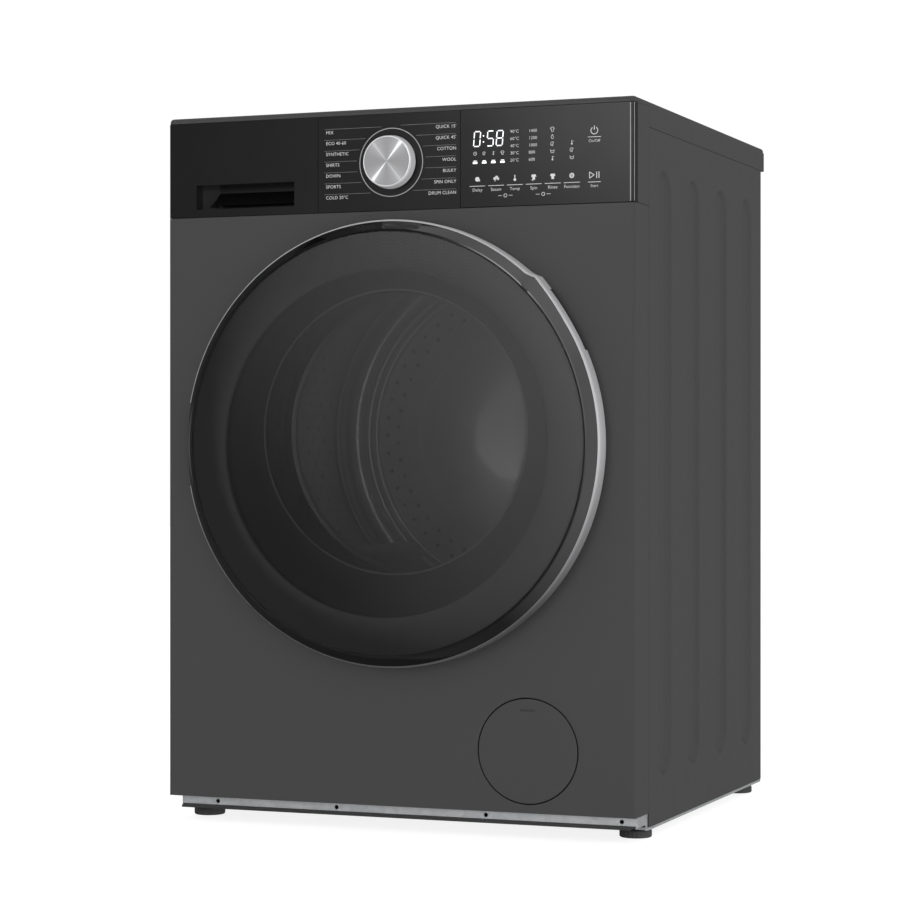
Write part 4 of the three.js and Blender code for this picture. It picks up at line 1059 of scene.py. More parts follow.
def program_names():
    """Plain laundry words in two columns, with a fine line from each word to the dial."""
    pitch, tall = 12.9, 3.8
    left = ["MIX", "ECO 40-60", "SYNTHETIC", "SHIRTS", "DOWN", "SPORTS", "COLD 20°C"]
    right = ["QUICK 15'", "QUICK 45'", "COTTON", "WOOL", "BULKY", "SPIN ONLY", "DRUM CLEAN"]
    marks = Marks()
    for words, x, rise, align in ((left, -88, 36.4, "LEFT"), (right, 78.5, 37.4, "RIGHT")):
        for i, word in enumerate(words):
            marks.text(word, x, DIAL_Z + rise - pitch * i, tall, align)
    marks.finish("program_names", PRINT)
    lines = Marks()
    for side, first, edge in ((-1, 42.2, 86), (1, 43.2, 82)):
        for i in range(7):
            rise = first - pitch * i
            reach = math.sqrt(max(44**2 - rise**2, 12**2))
            z = DIAL_Z + rise
            lines.line((DIAL_X + side * edge, z), (DIAL_X + side * reach, z), 0.4)
    lines.finish("program_lines", PRINT_LINE)


SEGMENT_ENDS = {
    "a": ((0, 2), (1, 2)),
    "b": ((1, 2), (1, 1)),
    "c": ((1, 1), (1, 0)),
    "d": ((0, 0), (1, 0)),
    "e": ((0, 1), (0, 0)),
    "f": ((0, 2), (0, 1)),
    "g": ((0, 1), (1, 1)),
}


def digit(marks, segments, x, z):
    """One seven-segment figure, leaning a little."""
    width, half, thick, lean, gap = 7.6, 8.6, 1.25, 0.08, 0.3
    for key in segments:
        (x0, z0), (x1, z1) = SEGMENT_ENDS[key]
        a = Vector((x + x0 * width + z0 * half * lean, z + z0 * half))
        b = Vector((x + x1 * width + z1 * half * lean, z + z1 * half))
        inset = (b - a).normalized() * (gap + thick * 0.4)
        marks.line(a + inset, b - inset, thick)


def display_digits():
    """The time left, with four lit bars under it."""
    marks = Marks()
    x, z = 100, DIAL_Z + 14
    for segments, shift in (("abcdef", 0), ("acdfg", 16.5), ("abcdefg", 28)):
        digit(marks, segments, x + shift, z)
    for rise in (5, 12):
        marks.dot(x + 12.4, z + rise, 0.9)
    for column in range(4):
        kx = 102 + column * 11.3
        marks.bar(kx, DIAL_Z - 5.1, 5.6, 2.2)
        marks.bar(kx, DIAL_Z - 2.9, 4.2, 0.8)
    marks.finish("display_digits", PRINT_BRIGHT)


def display_legends():
    """Columns of temperatures, speeds and signs beside the time, and the touch keys under it."""
    marks = Marks()
    base, pitch = DIAL_Z - 4.2, 8.3
    for column, kind in enumerate((0, 3, 2, 5)):
        small_icon(marks, kind, 102 + column * 11.3, base + 9.8, 2.3)
    for i, degrees in enumerate((90, 60, 40, 30, 20)):
        marks.text(f"{degrees}°C", 145.4, base + 32 - pitch * i, 3.5)
    for i, speed in enumerate((1400, 1200, 1000, 800, 600)):
        marks.text(f"{speed}", 168.2, base + 32 - pitch * i, 3.5)
    for i, kind in enumerate((5, 1, 3, 4, 2)):
        small_icon(marks, kind, 197.2, base + 34 - pitch * i, 2.8)
    for i in range(3):
        small_icon(marks, i + 2, 220.8, base + 18 - 8.4 * i, 2.8)
    for i, word in enumerate(["Delay", "Steam", "Temp", "Spin", "Rinse", "Function"]):
        x = 104.8 + 23.2 * i
        key_icon(marks, i, x, base - 20, 3.4)
        marks.bar(x, base - 28, 19.5, 0.6)
        marks.text(word, x, base - 34.2, 3.6, "CENTER")
    for x in (139.5, 186):
        marks.line((x - 9, base - 40), (x - 4.2, base - 40), 0.5)
        marks.line((x + 4.2, base - 40), (x + 9, base - 40), 0.5)
        marks.arc(x, base - 40, 1.9, 0.6)
    x = 248
    marks.arc(x, base + 30.5, 4.1, 0.8, 125, 415)
    marks.line((x, base + 31.2), (x, base + 36), 0.8)
    marks.bar(x, base + 23.2, 15.5, 0.6)
    marks.text("On/Off", x, base + 17.2, 3.2, "CENTER")
    z = base - 20.4
    marks.path([(x - 5.8, z - 3.6), (x - 5.8, z + 3.6), (x - 0.2, z)], 0.8, closed=True)
    for shift in (2.8, 5.6):
        marks.line((x + shift, z - 3.7), (x + shift, z + 3.7), 0.9)
    marks.bar(x, base - 28.4, 15.5, 0.6)
    marks.text("Start", x, base - 34.2, 3.2, "CENTER")
    marks.finish("display_legends", PRINT)


def painted_edge_highlights():
    """Two fine painted highlights down the rounded right end of the fascia: bright lines where its bend would
    catch the light.
    """
    marks = Marks()
    for x, width in ((291.4, 1.3), (296, 0.8)):
        marks.bar(x, (FASCIA_BOTTOM + FASCIA_TOP) / 2, width, FASCIA_TOP - FASCIA_BOTTOM - 2)
    marks.finish("fascia_painted_highlights", EDGE_HIGHLIGHT_PAINT)


def mirrored_outline(left, x, z, size):
    """A left half of an outline and its mirror image, scaled and moved."""
    whole = left + [(-a, b) for a, b in reversed(left) if a]
    return [(x + a * size, z + b * size) for a, b in whole]


def key_icon(marks, kind, x, z, size):
    """Filled pictograms over the touch keys: moon, cloud, thermometer, two shirts and a disc."""
    if kind == 0:
        marks.dot(x, z, size * 0.8, 18)
        marks.dot(x + size * 0.75, z - size * 0.5, size * 0.3, 10)
    elif kind == 1:
        for shift, rise, radius in ((-0.5, 0, 0.5), (0.2, 0.35, 0.6), (0.7, -0.1, 0.45)):
            marks.dot(x + size * shift, z + size * rise, size * radius, 14)
        marks.line((x - size * 0.2, z - size * 0.5), (x - size * 0.5, z - size), 0.6)
    elif kind == 2:
        marks.line((x, z - size * 0.4), (x, z + size), 1.1)
        marks.dot(x, z - size * 0.6, size * 0.5, 14)
    elif kind == 5:
        marks.arc(x, z, size * 0.65, size * 0.5, steps=18)
        marks.dot(x, z, size * 0.2, 10)
    else:
        s = size * 0.95
        left = [(-0.5, -1), (-0.5, 0.2), (-1, 0), (-0.75, 0.85), (-0.25, 1), (0, 0.75)]
        marks.shape(mirrored_outline(left, x, z, s))
        if kind == 3:
            marks.line((x - s * 0.9, z - s), (x - s * 0.1, z - s * 1.25), 0.6)


def small_icon(marks, kind, x, z, size):
    """Plain pictograms: clock, drop, thermometer, spiral, tub and shirt."""
    w = 0.45
    if kind == 0:
        marks.arc(x, z, size * 0.85, w, steps=14)
        marks.path([(x, z + size * 0.5), (x, z), (x + size * 0.4, z)], w)
    elif kind == 1:
        marks.arc(x, z - size * 0.3, size * 0.55, w, 160, 380, 10)
        sides = [(x - size * 0.52, z - size * 0.1), (x, z + size * 0.9), (x + size * 0.52, z - size * 0.1)]
        marks.path(sides, w)
    elif kind == 2:
        marks.line((x, z - size * 0.4), (x, z + size * 0.9), w * 1.6)
        marks.dot(x, z - size * 0.6, size * 0.35, 10)
        marks.line((x + size * 0.35, z + size * 0.5), (x + size * 0.8, z + size * 0.5), w)
    elif kind == 3:
        marks.arc(x, z, size * 0.8, w, 30, 300, 12)
        marks.arc(x, z, size * 0.35, w, 200, 470, 10)
    elif kind == 4:
        s = size * 0.85
        marks.path(mirrored_outline([(-1, 0.7), (-0.7, -0.8)], x, z, s), w)
        marks.line((x - s * 0.8, z + s * 0.1), (x + s * 0.8, z + s * 0.1), w)
    else:
        left = [(-0.45, -1), (-0.45, 0.3), (-1, 0.1), (-0.8, 0.8), (-0.3, 1)]
        marks.path(mirrored_outline(left, x, z, size * 0.9), w, closed=True)


# ---------------------------------------------------------------- door

RING_R = 262.0
COVER_R = span("door_cover")[1].x
DOOR_FRONT = span("door_cover")[0].y


def grip(angle):
    """Where the ring is thicker for the fingers: 0 outside the grip, 1 at its upper end."""
    start, peak, end = (math.radians(a) for a in (20, 46, 51))
    if angle < start or angle > end:
        return 0
    if angle <= peak:
        return (angle - start) / (peak - start)
    return (end - angle) / (end - peak)


def ring_cut(ring, material, scoop_depth):
    """Takes the hinge window and the finger scoop out of the ring or its band."""
    window_z = (DOOR_Z - HINGE_HALF - 10, DOOR_Z + HINGE_HALF + 10)
    window = block("tool", (-280, -238), (-27, 2), window_z, material)
    bend = turns(24, 42, 24)
    arc = [(275 * math.cos(a), DOOR_Z + 275 * math.sin(a)) for a in bend]
    arc += [(240 * math.cos(a), DOOR_Z + 240 * math.sin(a)) for a in reversed(bend)]
    return cut(ring, window, prism("tool", arc, scoop_depth, 1, "y", material))


def door_ring():
    """Black ring with a finger grip, and the satin band round its edge, with its highlight and shade painted
    into its colour by height.
    """
    front = [(248.2, -35.3), (248.9, -35.9), (250.6, -35.6), (260.2, -24.3), (261.5, -22.2), (RING_R, -19.5)]
    back = [(RING_R, -7), (261, -4.4), (258, -2), (250, -2), (250, -5), (258.3, -7), (258.3, -20.4)]
    profile = [*front, *back, (246.5, -31.4), (236, -31.4), (236, -33.2), (248.2, -33.2)]
    outer = range(3, 9)

    def swell(angle, point):
        return 4.5 * grip(angle) ** 3 if point in outer else 0

    def band_swell(angle, point):
        return swell(angle, outer[0]) if point > 1 else 0

    ring = lathe("door_ring_skin", profile, GLOSS_BLACK, 0, DOOR_Z, 360, 35, swell)
    piece(ring_cut(ring, GLOSS_BLACK, -13), "door", "gloss_black", "door_ring")
    band = [(260, -24.2), (260.3, -24.7), (260.7, -24.3), (261.9, -22.3), (262.5, -19.5)]
    band += [(262.5, -1.5), (262, -1), (261.9, -19.4), (261.4, -22.1), (260.4, -23.8)]
    # The band carries painted light: its colour is paler high up and darker low down.
    band = lathe("door_ring_band", band, SATIN_EDGE_PAINTED_LIGHT, 0, DOOR_Z, 360, 35, band_swell)
    piece(ring_cut(band, SATIN_EDGE_PAINTED_LIGHT, -8), "door", "gloss_black")


def door_cover():
    f, back = DOOR_FRONT, -33.7
    dome = [(0, f + 1.2), (60, f + 1.15), (120, f + 1), (170, f + 0.75), (203, f + 0.5), (204, f + 0.35)]
    rim = [(215, f + 0.15), (228, f), (240, f), (246.3, f + 0.04), (247.2, f + 0.6), (COVER_R, f + 2)]
    profile = [*dome, *rim, (COVER_R, back), (0, back)]
    piece(lathe("door_cover_skin", profile, COVER, 0, DOOR_Z, 256), "door", "tinted_cover", "door_cover")


def cover_print():
    """The grey ring printed on the back of the cover."""
    ring = [(203.2, -33.6), (247, -33.6), (247, -33.25), (203.2, -33.25)]
    piece(lathe("cover_print", ring, COVER_PRINT, 0, DOOR_Z, 200), "door", "tinted_cover")


def door_funnel():
    up = BOWL_UP
    front = [(235, -30.9), (206, -30), (203, -28.5), (203, -23.5), (201, -21), (190, -14, up * 0.35)]
    neck = [(178, -6, up * 0.8), (171, -3, up), (167, -2, up), (167, 1, up), (172, 1, up)]
    back = [(182, -4, up * 0.7), (194, -12, up * 0.3), (205.5, -20), (206.5, -26), (235, -27.8)]
    funnel = lathe("door_funnel_skin", front + neck + back, FUNNEL, 0, DOOR_Z, 200)
    piece(funnel, "door", "gloss_black", "door_funnel")
    ring = [(166.4, -2.1, up), (167.6, -2.7, up), (168.4, -2.9, up), (168.6, -2.6, up), (167.4, -1.9, up)]
    piece(lathe("bowl_edge", ring, BOWL_EDGE, 0, DOOR_Z, 200), "door", "gloss_black")


def door_inner_frame():
    up = BOWL_UP
    outside = [(231, -25.4), (231, 8), (230.4, 9.4), (229, 10), (209, 10, 10), (205, 9, 11), (200, 5.4, up)]
    inside = [(198, 4.8, up), (168, 4.8, up), (168, 3.8, up), (199.6, 3.8, up), (207.8, 8.6, 10)]
    lip = [(227, 8.6), (228.8, 7), (228.8, -25.4)]
    ring = lathe("door_inner_frame_skin", outside + inside + lip, BLACK_PLASTIC, 0, DOOR_Z, 200)
    window_z = (DOOR_Z - HINGE_HALF - 6, DOOR_Z + HINGE_HALF + 6)
    window = block("tool", (-240, -198), (-40, 20), window_z, BLACK_PLASTIC)
    slot = block("tool", (LATCH_X - 13, LATCH_X + 9), (-2, 20), (DOOR_Z - 8, DOOR_Z + 8), BLACK_PLASTIC)
    piece(cut(ring, window, slot), "door", "black_plastic", "door_inner_frame")
    behind_hinge = (4, 5)
    places = [place for i, place in enumerate(around(220, 10, 0, DOOR_Z, 18)) if i not in behind_hinge]
    screws("door_screws", "door", places, 10, 3.6, "y+")


def door_glass():
    inside = [(0, 93), (80, 92.4), (112, 90), (128, 85), (136, 78), (146, 60), (153, 40), (159, 18)]
    flange = [(162.4, 4), (163, 1.4), (173.5, 1.4), (173.5, 3.4), (167.2, 3.6), (165.6, 5)]
    outside = [(162.3, 19), (156.5, 42), (149.5, 62), (139.5, 82), (130, 90), (114, 94.6), (80, 96.6)]
    profile = [*inside, *flange, *outside, (0, 97)]
    bowl = lathe("door_glass_skin", profile, GLASS, 0, DRUM_Z, 160)
    piece(bowl, "door", "clear_glass", "door_glass")


def door_seal():
    """Grey bellows from its front lip on the panel back to the tub."""
    outside = [(185, 5), (185, 15), (190, 15), (190, 19), (181, 20), (178.5, 24), (178, 30), (183, 35.5)]
    fold = [(190, 40), (190, 42), (177, 49), (177, 66), (174, 66), (174, 47), (176.5, 45), (186, 40.5)]
    inside = [(182, 37.6), (174.5, 33), (167.5, 31.5), (166.4, 30), (166.4, 28), (174.5, 27), (176.4, 20)]
    profile = [*outside, *fold, *inside, (177.4, 11), (178, 5)]
    seal = lathe("door_seal_skin", profile, SEAL_RUBBER, 0, DRUM_Z, 160, 50)
    ends = at(0, 27, DRUM_Z), at(0, 50, DRUM_Z)
    stretching(seal, "seal_rubber", "door_seal", ("cabinet", "tub"), *ends)


# ---------------------------------------------------------------- drum and tub


def drum_shell():
    """Stainless cylinder with staggered round holes, closed at the back and turned in at the front."""
    radius = span("drum_shell")[1].x
    radii = (radius - 1.4, radius)
    front, back = 96, 418
    columns, rows = 96, 20
    hole = 2.6
    wide = 2 * math.pi * radius / columns
    tall = (back - front) / rows
    bm = bmesh.new()
    grid, holes = {}, {}

    def wall(u, v, r):
        a = 2 * math.pi * u / columns
        return at(r * math.cos(a), front + (back - front) * v / rows, r * math.sin(a) + DRUM_Z)

    def corner(u, v, layer):
        key = (u % columns, v, layer)
        if key not in grid:
            grid[key] = bm.verts.new(wall(u, v, radii[layer]))
        return grid[key]

    def bridge(a, b):
        for i in range(len(a)):
            j = (i + 1) % len(a)
            bm.faces.new((a[i], a[j], b[j], b[i]))

    def carried_on(v, layer, profile):
        """Carries the wall on from one of its ends along (radius, depth). Gives the last circle."""
        previous = [corner(u, v, layer) for u in range(columns)]
        for r, depth in profile:
            ring = [bm.verts.new(at(x, depth, z)) for x, z in around(r, columns, 0, DRUM_Z)]
            bridge(previous, ring)
            previous = ring
        return previous

    for layer, r in enumerate(radii):
        for v in range(rows):
            for u in range(columns):
                ring = [corner(*place, layer) for place in ((u, v), (u + 1, v), (u + 1, v + 1), (u, v + 1))]
                if (u + v) % 2:
                    bm.faces.new(ring)
                    continue
                edge = []
                for k in range(8):
                    a = math.radians(45 * k - 135)
                    across, along = hole * math.cos(a) / wide, hole * math.sin(a) / tall
                    edge.append(bm.verts.new(wall(u + 0.5 + across, v + 0.5 + along, r)))
                for k in range(4):
                    a, b, c = edge[2 * k], edge[2 * k + 1], edge[(2 * k + 2) % 8]
                    bm.faces.new((ring[k], ring[(k + 1) % 4], c, b, a))
                holes[u, v, layer] = edge
    for u, v, layer in list(holes):
        if layer == 0:
            bridge(holes[u, v, 0], holes[u, v, 1])
    front_ends = (
        [(radii[0], 89.5), (235, 84.6), (173, 84.6), (169.6, 88), (169.6, 94)],
        [(radii[1], 88.5), (236, 83.2), (172, 83.2), (168.2, 87), (168.2, 94)],
    )
    back_ends = (
        [(radii[0], 422), (234, 427.6), (60, 427.6), (0, 427.6)],
        [(radii[1], 423), (235, 429), (60, 429), (0, 429)],
    )
    mouth = [carried_on(0, layer, front_ends[layer]) for layer in (0, 1)]
    for layer in (0, 1):
        carried_on(rows, layer, back_ends[layer])
    bridge(*mouth)
    piece(own("drum_shell_skin", bm, STAINLESS, 35), "drum", "stainless", "drum_shell")
    rib = [(234.5, 366), (236.5, 366), (236.5, 384), (234.5, 384), (231, 379), (230.2, 375), (231, 371)]
    piece(lathe("drum_rib", rib, STAINLESS, 0, DRUM_Z, 96), "drum", "stainless")


def drum_back_plate():
    """Pressed plate inside the drum's back, with two beads and rings of small holes, drawn as near-black
    discs of painted shade.
    """

    def bead(r, d, size):
        return [(r - size * math.cos(t), d - size * math.sin(t)) for t in turns(0, 180, 8)]

    behind = [(236.2, 412), (230, 419.5), (222, 422.6), (0, 422.6)]
    middle_part = [(0, 421), (57, 421), (62, 418.2), (134, 418.2), (137.2, 418.6), (139.6, 420.2)]
    steps = [(142, 421.4), (160, 421.4), (196, 421.4), *bead(202, 420, 4.2), (206.5, 420), (207.5, 420)]
    knuckle = [*bead(212.5, 419, 4.5), (226, 419), (231.5, 416), (235, 411), (236, 406)]
    profile = middle_part + steps + knuckle + behind
    piece(lathe("drum_back_plate", profile, STAINLESS, 0, DRUM_Z, 144), "drum", "stainless")
    # Painted shade: the holes are near-black discs on the plate, not cut through.
    holes = []
    for i, (x, z) in enumerate(around(1, 96)):
        r = 170 if i % 2 else 186
        holes.append(rod("hole", 2.8, 420.9, 421.3, "y", (r * x, DRUM_Z + r * z), POCKET_SHADE, 8))
    piece(joined("drum_back_hole_shade", holes), "drum", "stainless")


def lifter(index):
    """Grey paddle with rounded ends on the drum's wall."""
    turn = math.radians(100 + 120 * index)
    count, low, high = 24, 118, 402
    half = 11
    rows = []
    for i in range(count + 1):
        t = i / count
        from_end = min(1, 8 * min(t, 1 - t))
        ease = math.sqrt(1 - (1 - from_end) ** 2)
        tip = 234 - 46 * (0.35 + 0.65 * ease)
        side = [(-28, 234.5), (-22, 226), (-half - 2, tip + 14), (-half, tip + 8), (-half * 0.7, tip + 2.6)]
        outline = [*side, (0, tip), *[(-x, r) for x, r in reversed(side)]]
        ring = []
        for x, r in outline:
            across = x * math.cos(turn) + r * math.sin(turn)
            rise = DRUM_Z - x * math.sin(turn) + r * math.cos(turn)
            ring.append(at(across, low + (high - low) * t, rise))
        rows.append(ring)
    name = f"lifter_{index + 1}"
    piece(skin(name + "_skin", rows, GREY_PLASTIC), "drum", "grey_plastic", name)


def drum_back():
    """Cast spider with three tapered arms on a stepped shaft, and the ribbed pulley behind the tub."""
    boss = [(0, 431.5), (32, 431.5), (31, 441), (28, 443.6), (15, 443.8)]
    shaft = [(15, 504), (12, 504.2), (12, 529), (11, 530), (0, 530)]
    hub = lathe("drum_spider_skin", boss + shaft, CAST_ALUMINIUM, 0, DRUM_Z, 64)
    outline = soft([(-16, 10), (-11, 215), (-16, 224), (16, 224), (11, 215), (16, 10)], 4)
    arms = []
    for i in range(3):
        turned = turned_outline(outline, math.radians(90 + 120 * i))
        arms.append(eased(prism("arm", turned, 431.2, 439.8, "y", CAST_ALUMINIUM), 1.5))
    piece(add(hub, *arms), "drum", "cast_aluminium", "drum_spider")

    hub = [(12.4, 505.6), (25, 505.6), (26, 506.6), (26, 512), (131, 512), (131, 508), (139, 508), (140, 509)]
    groove = []
    for i in range(8):
        groove += [(139.4, 510.2 + 1.35 * i), (138.4, 510.8 + 1.35 * i)]
    rim = [(140, 521), (139, 522), (131, 522), (131, 516), (26, 516), (26, 525), (25, 526), (12.4, 526)]
    pulley = lathe("drum_pulley_skin", hub + groove + rim, CAST_ALUMINIUM, 0, DRUM_Z, 160)
    places = around(78, 5, 0, DRUM_Z)
    tools = [rod("tool", 24, 500, 530, "y", place, CAST_ALUMINIUM, 48) for place in places]
    piece(eased(cut(pulley, *tools), 0.5), "drum", "cast_aluminium", "drum_pulley")
    nut = eased(rod("nut", 11, 526.1, 529.5, "y", (0, DRUM_Z), STEEL, 6), 0.6)
    piece(nut, "drum", "steel")


def turned_outline(outline, angle):
    """Points (across, radius) on a ray at that angle round the drum's axis, as (x, z)."""
    c, n = math.cos(angle), math.sin(angle)
    return [(r * c - u * n, DRUM_Z + r * n + u * c) for u, r in outline]


def fins(count, low, high, depth, half=1.2, skip=()):
    """Straight ribs standing round the drum's axis, as separate solids."""
    made = []
    for i in range(count):
        if i in skip:
            continue
        outline = turned_outline(rectangle((-half, half), (low, high)), 2 * math.pi * i / count)
        made.append(prism("fin", outline, *depth, "y", GREY_PLASTIC))
    return made


def tub():
    """Front half with its ports, damper lugs and ribs."""
    r, wall, d = 262, 3, 69
    neck = [(178, 56), (181, 56), (181, d), (r - 8, d), (r - 4, d + 1), (r - 1, d + 4), (r, d + 8)]
    flange = [(r, 244), (r + 8, 244), (r + 8, 252), (r - wall, 252)]
    inside = [(r - wall, d + 9), (r - 6, d + 4), (r - 10, d + 3), (178, d + 3)]
    front = lathe("tub_front_skin", neck + flange + inside, GREY_PLASTIC, 0, DRUM_Z, 144)
    room = [(0, 60), (r - wall + 0.4, 60), (r - wall + 0.4, 250), (0, 250)]
    ports = []
    for low, high, centre in ((236, 300, SUMP), (630, 676.8, FILL)):
        port = rod("port", 18, low, high, "z", centre, GREY_PLASTIC)
        ports.append(cut(port, lathe("tool", room, GREY_PLASTIC, 0, DRUM_Z, 144)))
    lugs = []
    for x in (-150, 150):
        for depth in ((205, 210), (220, 225)):
            lugs.append(block("lug", (x - 8, x + 8), depth, (222, 263), GREY_PLASTIC))
        lugs.append(rod("lug", 4, 205, 225, "y", (x, 232), GREY_PLASTIC, 24))
    ribs = fins(24, r - 1, r + 6, (236, 246), skip=(4, 5, 6, 7, 8, 9))
    add(front, *ports, *lugs, *ribs)
    bores = [rod("tool", 15, 230, 320, "z", SUMP, GREY_PLASTIC)]
    bores.append(rod("tool", 15, 620, 690, "z", FILL, GREY_PLASTIC))
    heater_holes = [rod("tool", 5, 60, 80, "y", (x, DRUM_Z - 250), GREY_PLASTIC, 20) for x in (-25, 25)]
    piece(cut(front, *bores, *heater_holes), "tub", "grey_plastic", "tub_front")
    tub_rear(r, wall)
    places = around(r + 4.4, 18, 0, DRUM_Z, 10)
    heads = [rod("screw", 2.6, 260.5, 263, "y", place, STEEL, 6) for place in places]
    piece(joined("tub_screws", heads), "tub", "steel")


def tub_rear(r, wall):
    """Back half with the bearing hub, its ribs and the ears that the springs hook into."""
    start, back = 252.4, 458
    flange = [(r - wall, start), (r + 8, start), (r + 8, start + 8), (r, start + 8)]
    wall_back = [(r, back - 8), (r - 2, back - 3), (r - 8, back), (62, back)]
    hub = [(47, 499), (45, 500), (26, 500), (26, 446), (38, 446), (42, 454)]
    profile = [*flange, *wall_back, *hub, (r - 7, 454), (r - wall, 449)]
    rear = lathe("tub_rear_skin", profile, GREY_PLASTIC, 0, DRUM_Z, 144)
    ribs = fins(18, 55, 245, (back - 0.5, back + 9.6), 1.6)
    for node, side in (("spring_left", -1), ("spring_right", 1)):
        x, depth = side * 215, middle(node).y
        ear = soft(rectangle((depth - 10, depth + 10), (DRUM_Z + 145, DRUM_Z + 178)), 4)
        ribs.append(prism("ear", ear, x - 3, x + 3, "x", GREY_PLASTIC))
    add(rear, *ribs)
    clear = rod("tool", 25.9, 440, 510, "y", (0, DRUM_Z), GREY_PLASTIC, 64)
    piece(cut(rear, clear), "tub", "grey_plastic", "tub_rear")


def counterweights():
    """Two cast blocks: an arc under the door's opening, and one that sits on top of the tub."""
    bend = turns(198, 342, 48)
    outline = [(255 * math.cos(a), DRUM_Z + 255 * math.sin(a)) for a in bend]
    outline += [(196 * math.cos(a), DRUM_Z + 196 * math.sin(a)) for a in reversed(bend)]
    front = prism("front_counterweight_skin", outline, 46, 68.6, "y", CONCRETE)
    cut(front, block("tool", (-48, 48), (40, 80), (DRUM_Z - 270, DRUM_Z - 232), CONCRETE))
    piece(eased(front, 3, 3), "tub", "concrete", "front_counterweight")
    bolts = []
    for a in (math.radians(degrees) for degrees in (208, 236, 304, 332)):
        place = (226 * math.cos(a), DRUM_Z + 226 * math.sin(a))
        bolts.append(eased(rod("bolt", 7, 40, 45.9, "y", place, STEEL, 6), 0.6))
    piece(joined("counterweight_bolts", bolts), "tub", "steel")
    r, left, right, top = 271, -90, 150, DRUM_Z + 330
    bend = turns(math.degrees(math.acos(left / r)), math.degrees(math.acos(right / r)), 32)
    outline = [(left, top), *[(r * math.cos(a), DRUM_Z + r * math.sin(a)) for a in bend], (right, top)]
    upper = prism("top_counterweight_skin", outline, 150, 300, "y", CONCRETE)
    piece(eased(upper, 3, 3), "tub", "concrete", "top_counterweight")


def motor():
    """Motor under the tub with its ribbed pulley, and the belt to the drum's pulley."""
    z = DRUM_Z - 353
    body = [(9, 330.5), (56, 330.5), (62, 333), (70, 341), (72, 345), (72, 376), (70.5, 377), (70.5, 436)]
    body += [(72, 437), (72, 466), (70, 471), (61, 480), (56, 481.5), (9, 481.5)]
    housing = lathe("motor_housing_skin", body, CAST_ALUMINIUM, 0, z, 96)
    lugs = []
    for x in (-56, 56):
        lugs.append(block("lug", (x - 6, x + 6), (350, 460), (z + 30, DRUM_Z - 260), CAST_ALUMINIUM))
    slots = [rod("tool", 6, 474, 485, "y", place, CAST_ALUMINIUM, 20) for place in around(42, 12, 0, z)]
    piece(eased(cut(add(housing, *lugs), *slots), 0.6), "tub", "cast_aluminium", "motor_housing")
    winding = [(0, 377.2), (71.9, 377.2), (71.9, 435.8), (0, 435.8)]
    band = cut(lathe("stator", winding, COIL, 0, z, 96), rod("tool", 70.7, 370, 440, "y", (0, z), COIL, 96))
    piece(band, "tub", "black_plastic")

    shaft = [(0, 345), (8, 345), (8, 506), (14, 506), (14, 508), (12, 508.4)]
    groove = []
    for i in range(9):
        groove += [(12, 509 + 1.35 * i), (11.2, 509.6 + 1.35 * i)]
    tail = [(12, 521.6), (14, 522), (14, 524), (6, 524), (0, 524)]
    pulley = lathe("motor_pulley_skin", shaft + groove + tail, STEEL, 0, z, 48)
    piece(pulley, "motor_rotor", "cast_aluminium", "motor_pulley")
    piece(drive_belt(z), "tub", "black_rubber", "drive_belt")


def drive_belt(low):
    """Flat belt round both pulleys, ribbed on the side that touches them. low is the motor's height."""
    big, small = 140, 12
    lean = math.degrees(math.asin((big - small) / (DRUM_Z - low)))
    stations = [(DRUM_Z, big, a) for a in turns(-lean, 180 + lean, 48)]
    stations += [(low, small, a) for a in turns(180 + lean, 360 - lean, 16)]
    profile = [(3.9, 509.2), (3.9, 520.8)]
    for i in range(8):
        profile += [(0.9, 520.4 - 1.4 * i), (1.9, 519.9 - 1.4 * i)]
    rings = []
    for z, r, a in stations:
        rings.append([at((r + out) * math.cos(a), d, z + (r + out) * math.sin(a)) for out, d in profile])
    return skin("drive_belt_skin", rings, BLACK_RUBBER, loop=True)


# ---------------------------------------------------------------- suspension and hoses


def spring_hook(x, depth, z, up):
    """Three quarters of a circle that starts at z, opening up or down towards the coil."""
    return [at(x + 7 * math.sin(a), depth, z + up * (7 - 7 * math.cos(a))) for a in turns(270, 18, 14)]


def springs():
    """Close-wound springs that stretch between the beam and the tub."""
    for side, name in ((-1, "spring_left"), (1, "spring_right")):
        x, depth = side * 215, middle(name).y
        low, high = span(name)[0].z, span(name)[1].z
        coils, steps = 13, 18
        count = coils * steps
        start, stop = low + 24, high - 17
        path = spring_hook(x, depth, low + 2.2, 1)
        for i in range(count + 1):
            a = 2 * math.pi * i / steps
            r = 3 + 10 * min(1, i / steps, (count - i) / steps)
            path.append(at(x + r * math.cos(a), depth + r * math.sin(a), start + (stop - start) * i / count))
        path += reversed(spring_hook(x, depth, high - 2.2, -1))
        wire = sweep(name + "_skin", path, 2.0, STEEL, 8)
        ends = at(x, depth, low + 20), at(x, depth, high - 14)
        stretching(wire, "steel", name, ("tub", "cabinet"), *ends)


def hose(node, centre, bodies):
    """Ribbed rubber hose with a plain length at each end."""
    low, high = span(node)[0].z, span(node)[1].z
    ribs, plain = 8, 8
    pitch = (high - low - 2 * plain) / ribs
    profile = [(17.5, low), (20, low), (20, low + plain)]
    for i in range(ribs):
        z = low + plain + pitch * i
        for radius, share in ((20, 0.15), (18.9, 0.35), (18.9, 0.65), (20, 0.85)):
            profile.append((radius, z + pitch * share))
    profile += [(20, high - plain), (20, high), (17.5, high)]
    made = lathe_up(node + "_skin", profile, BLACK_RUBBER, centre, 40)
    stretching(made, "black_rubber", node, bodies, at(*centre, low + plain), at(*centre, high - plain))


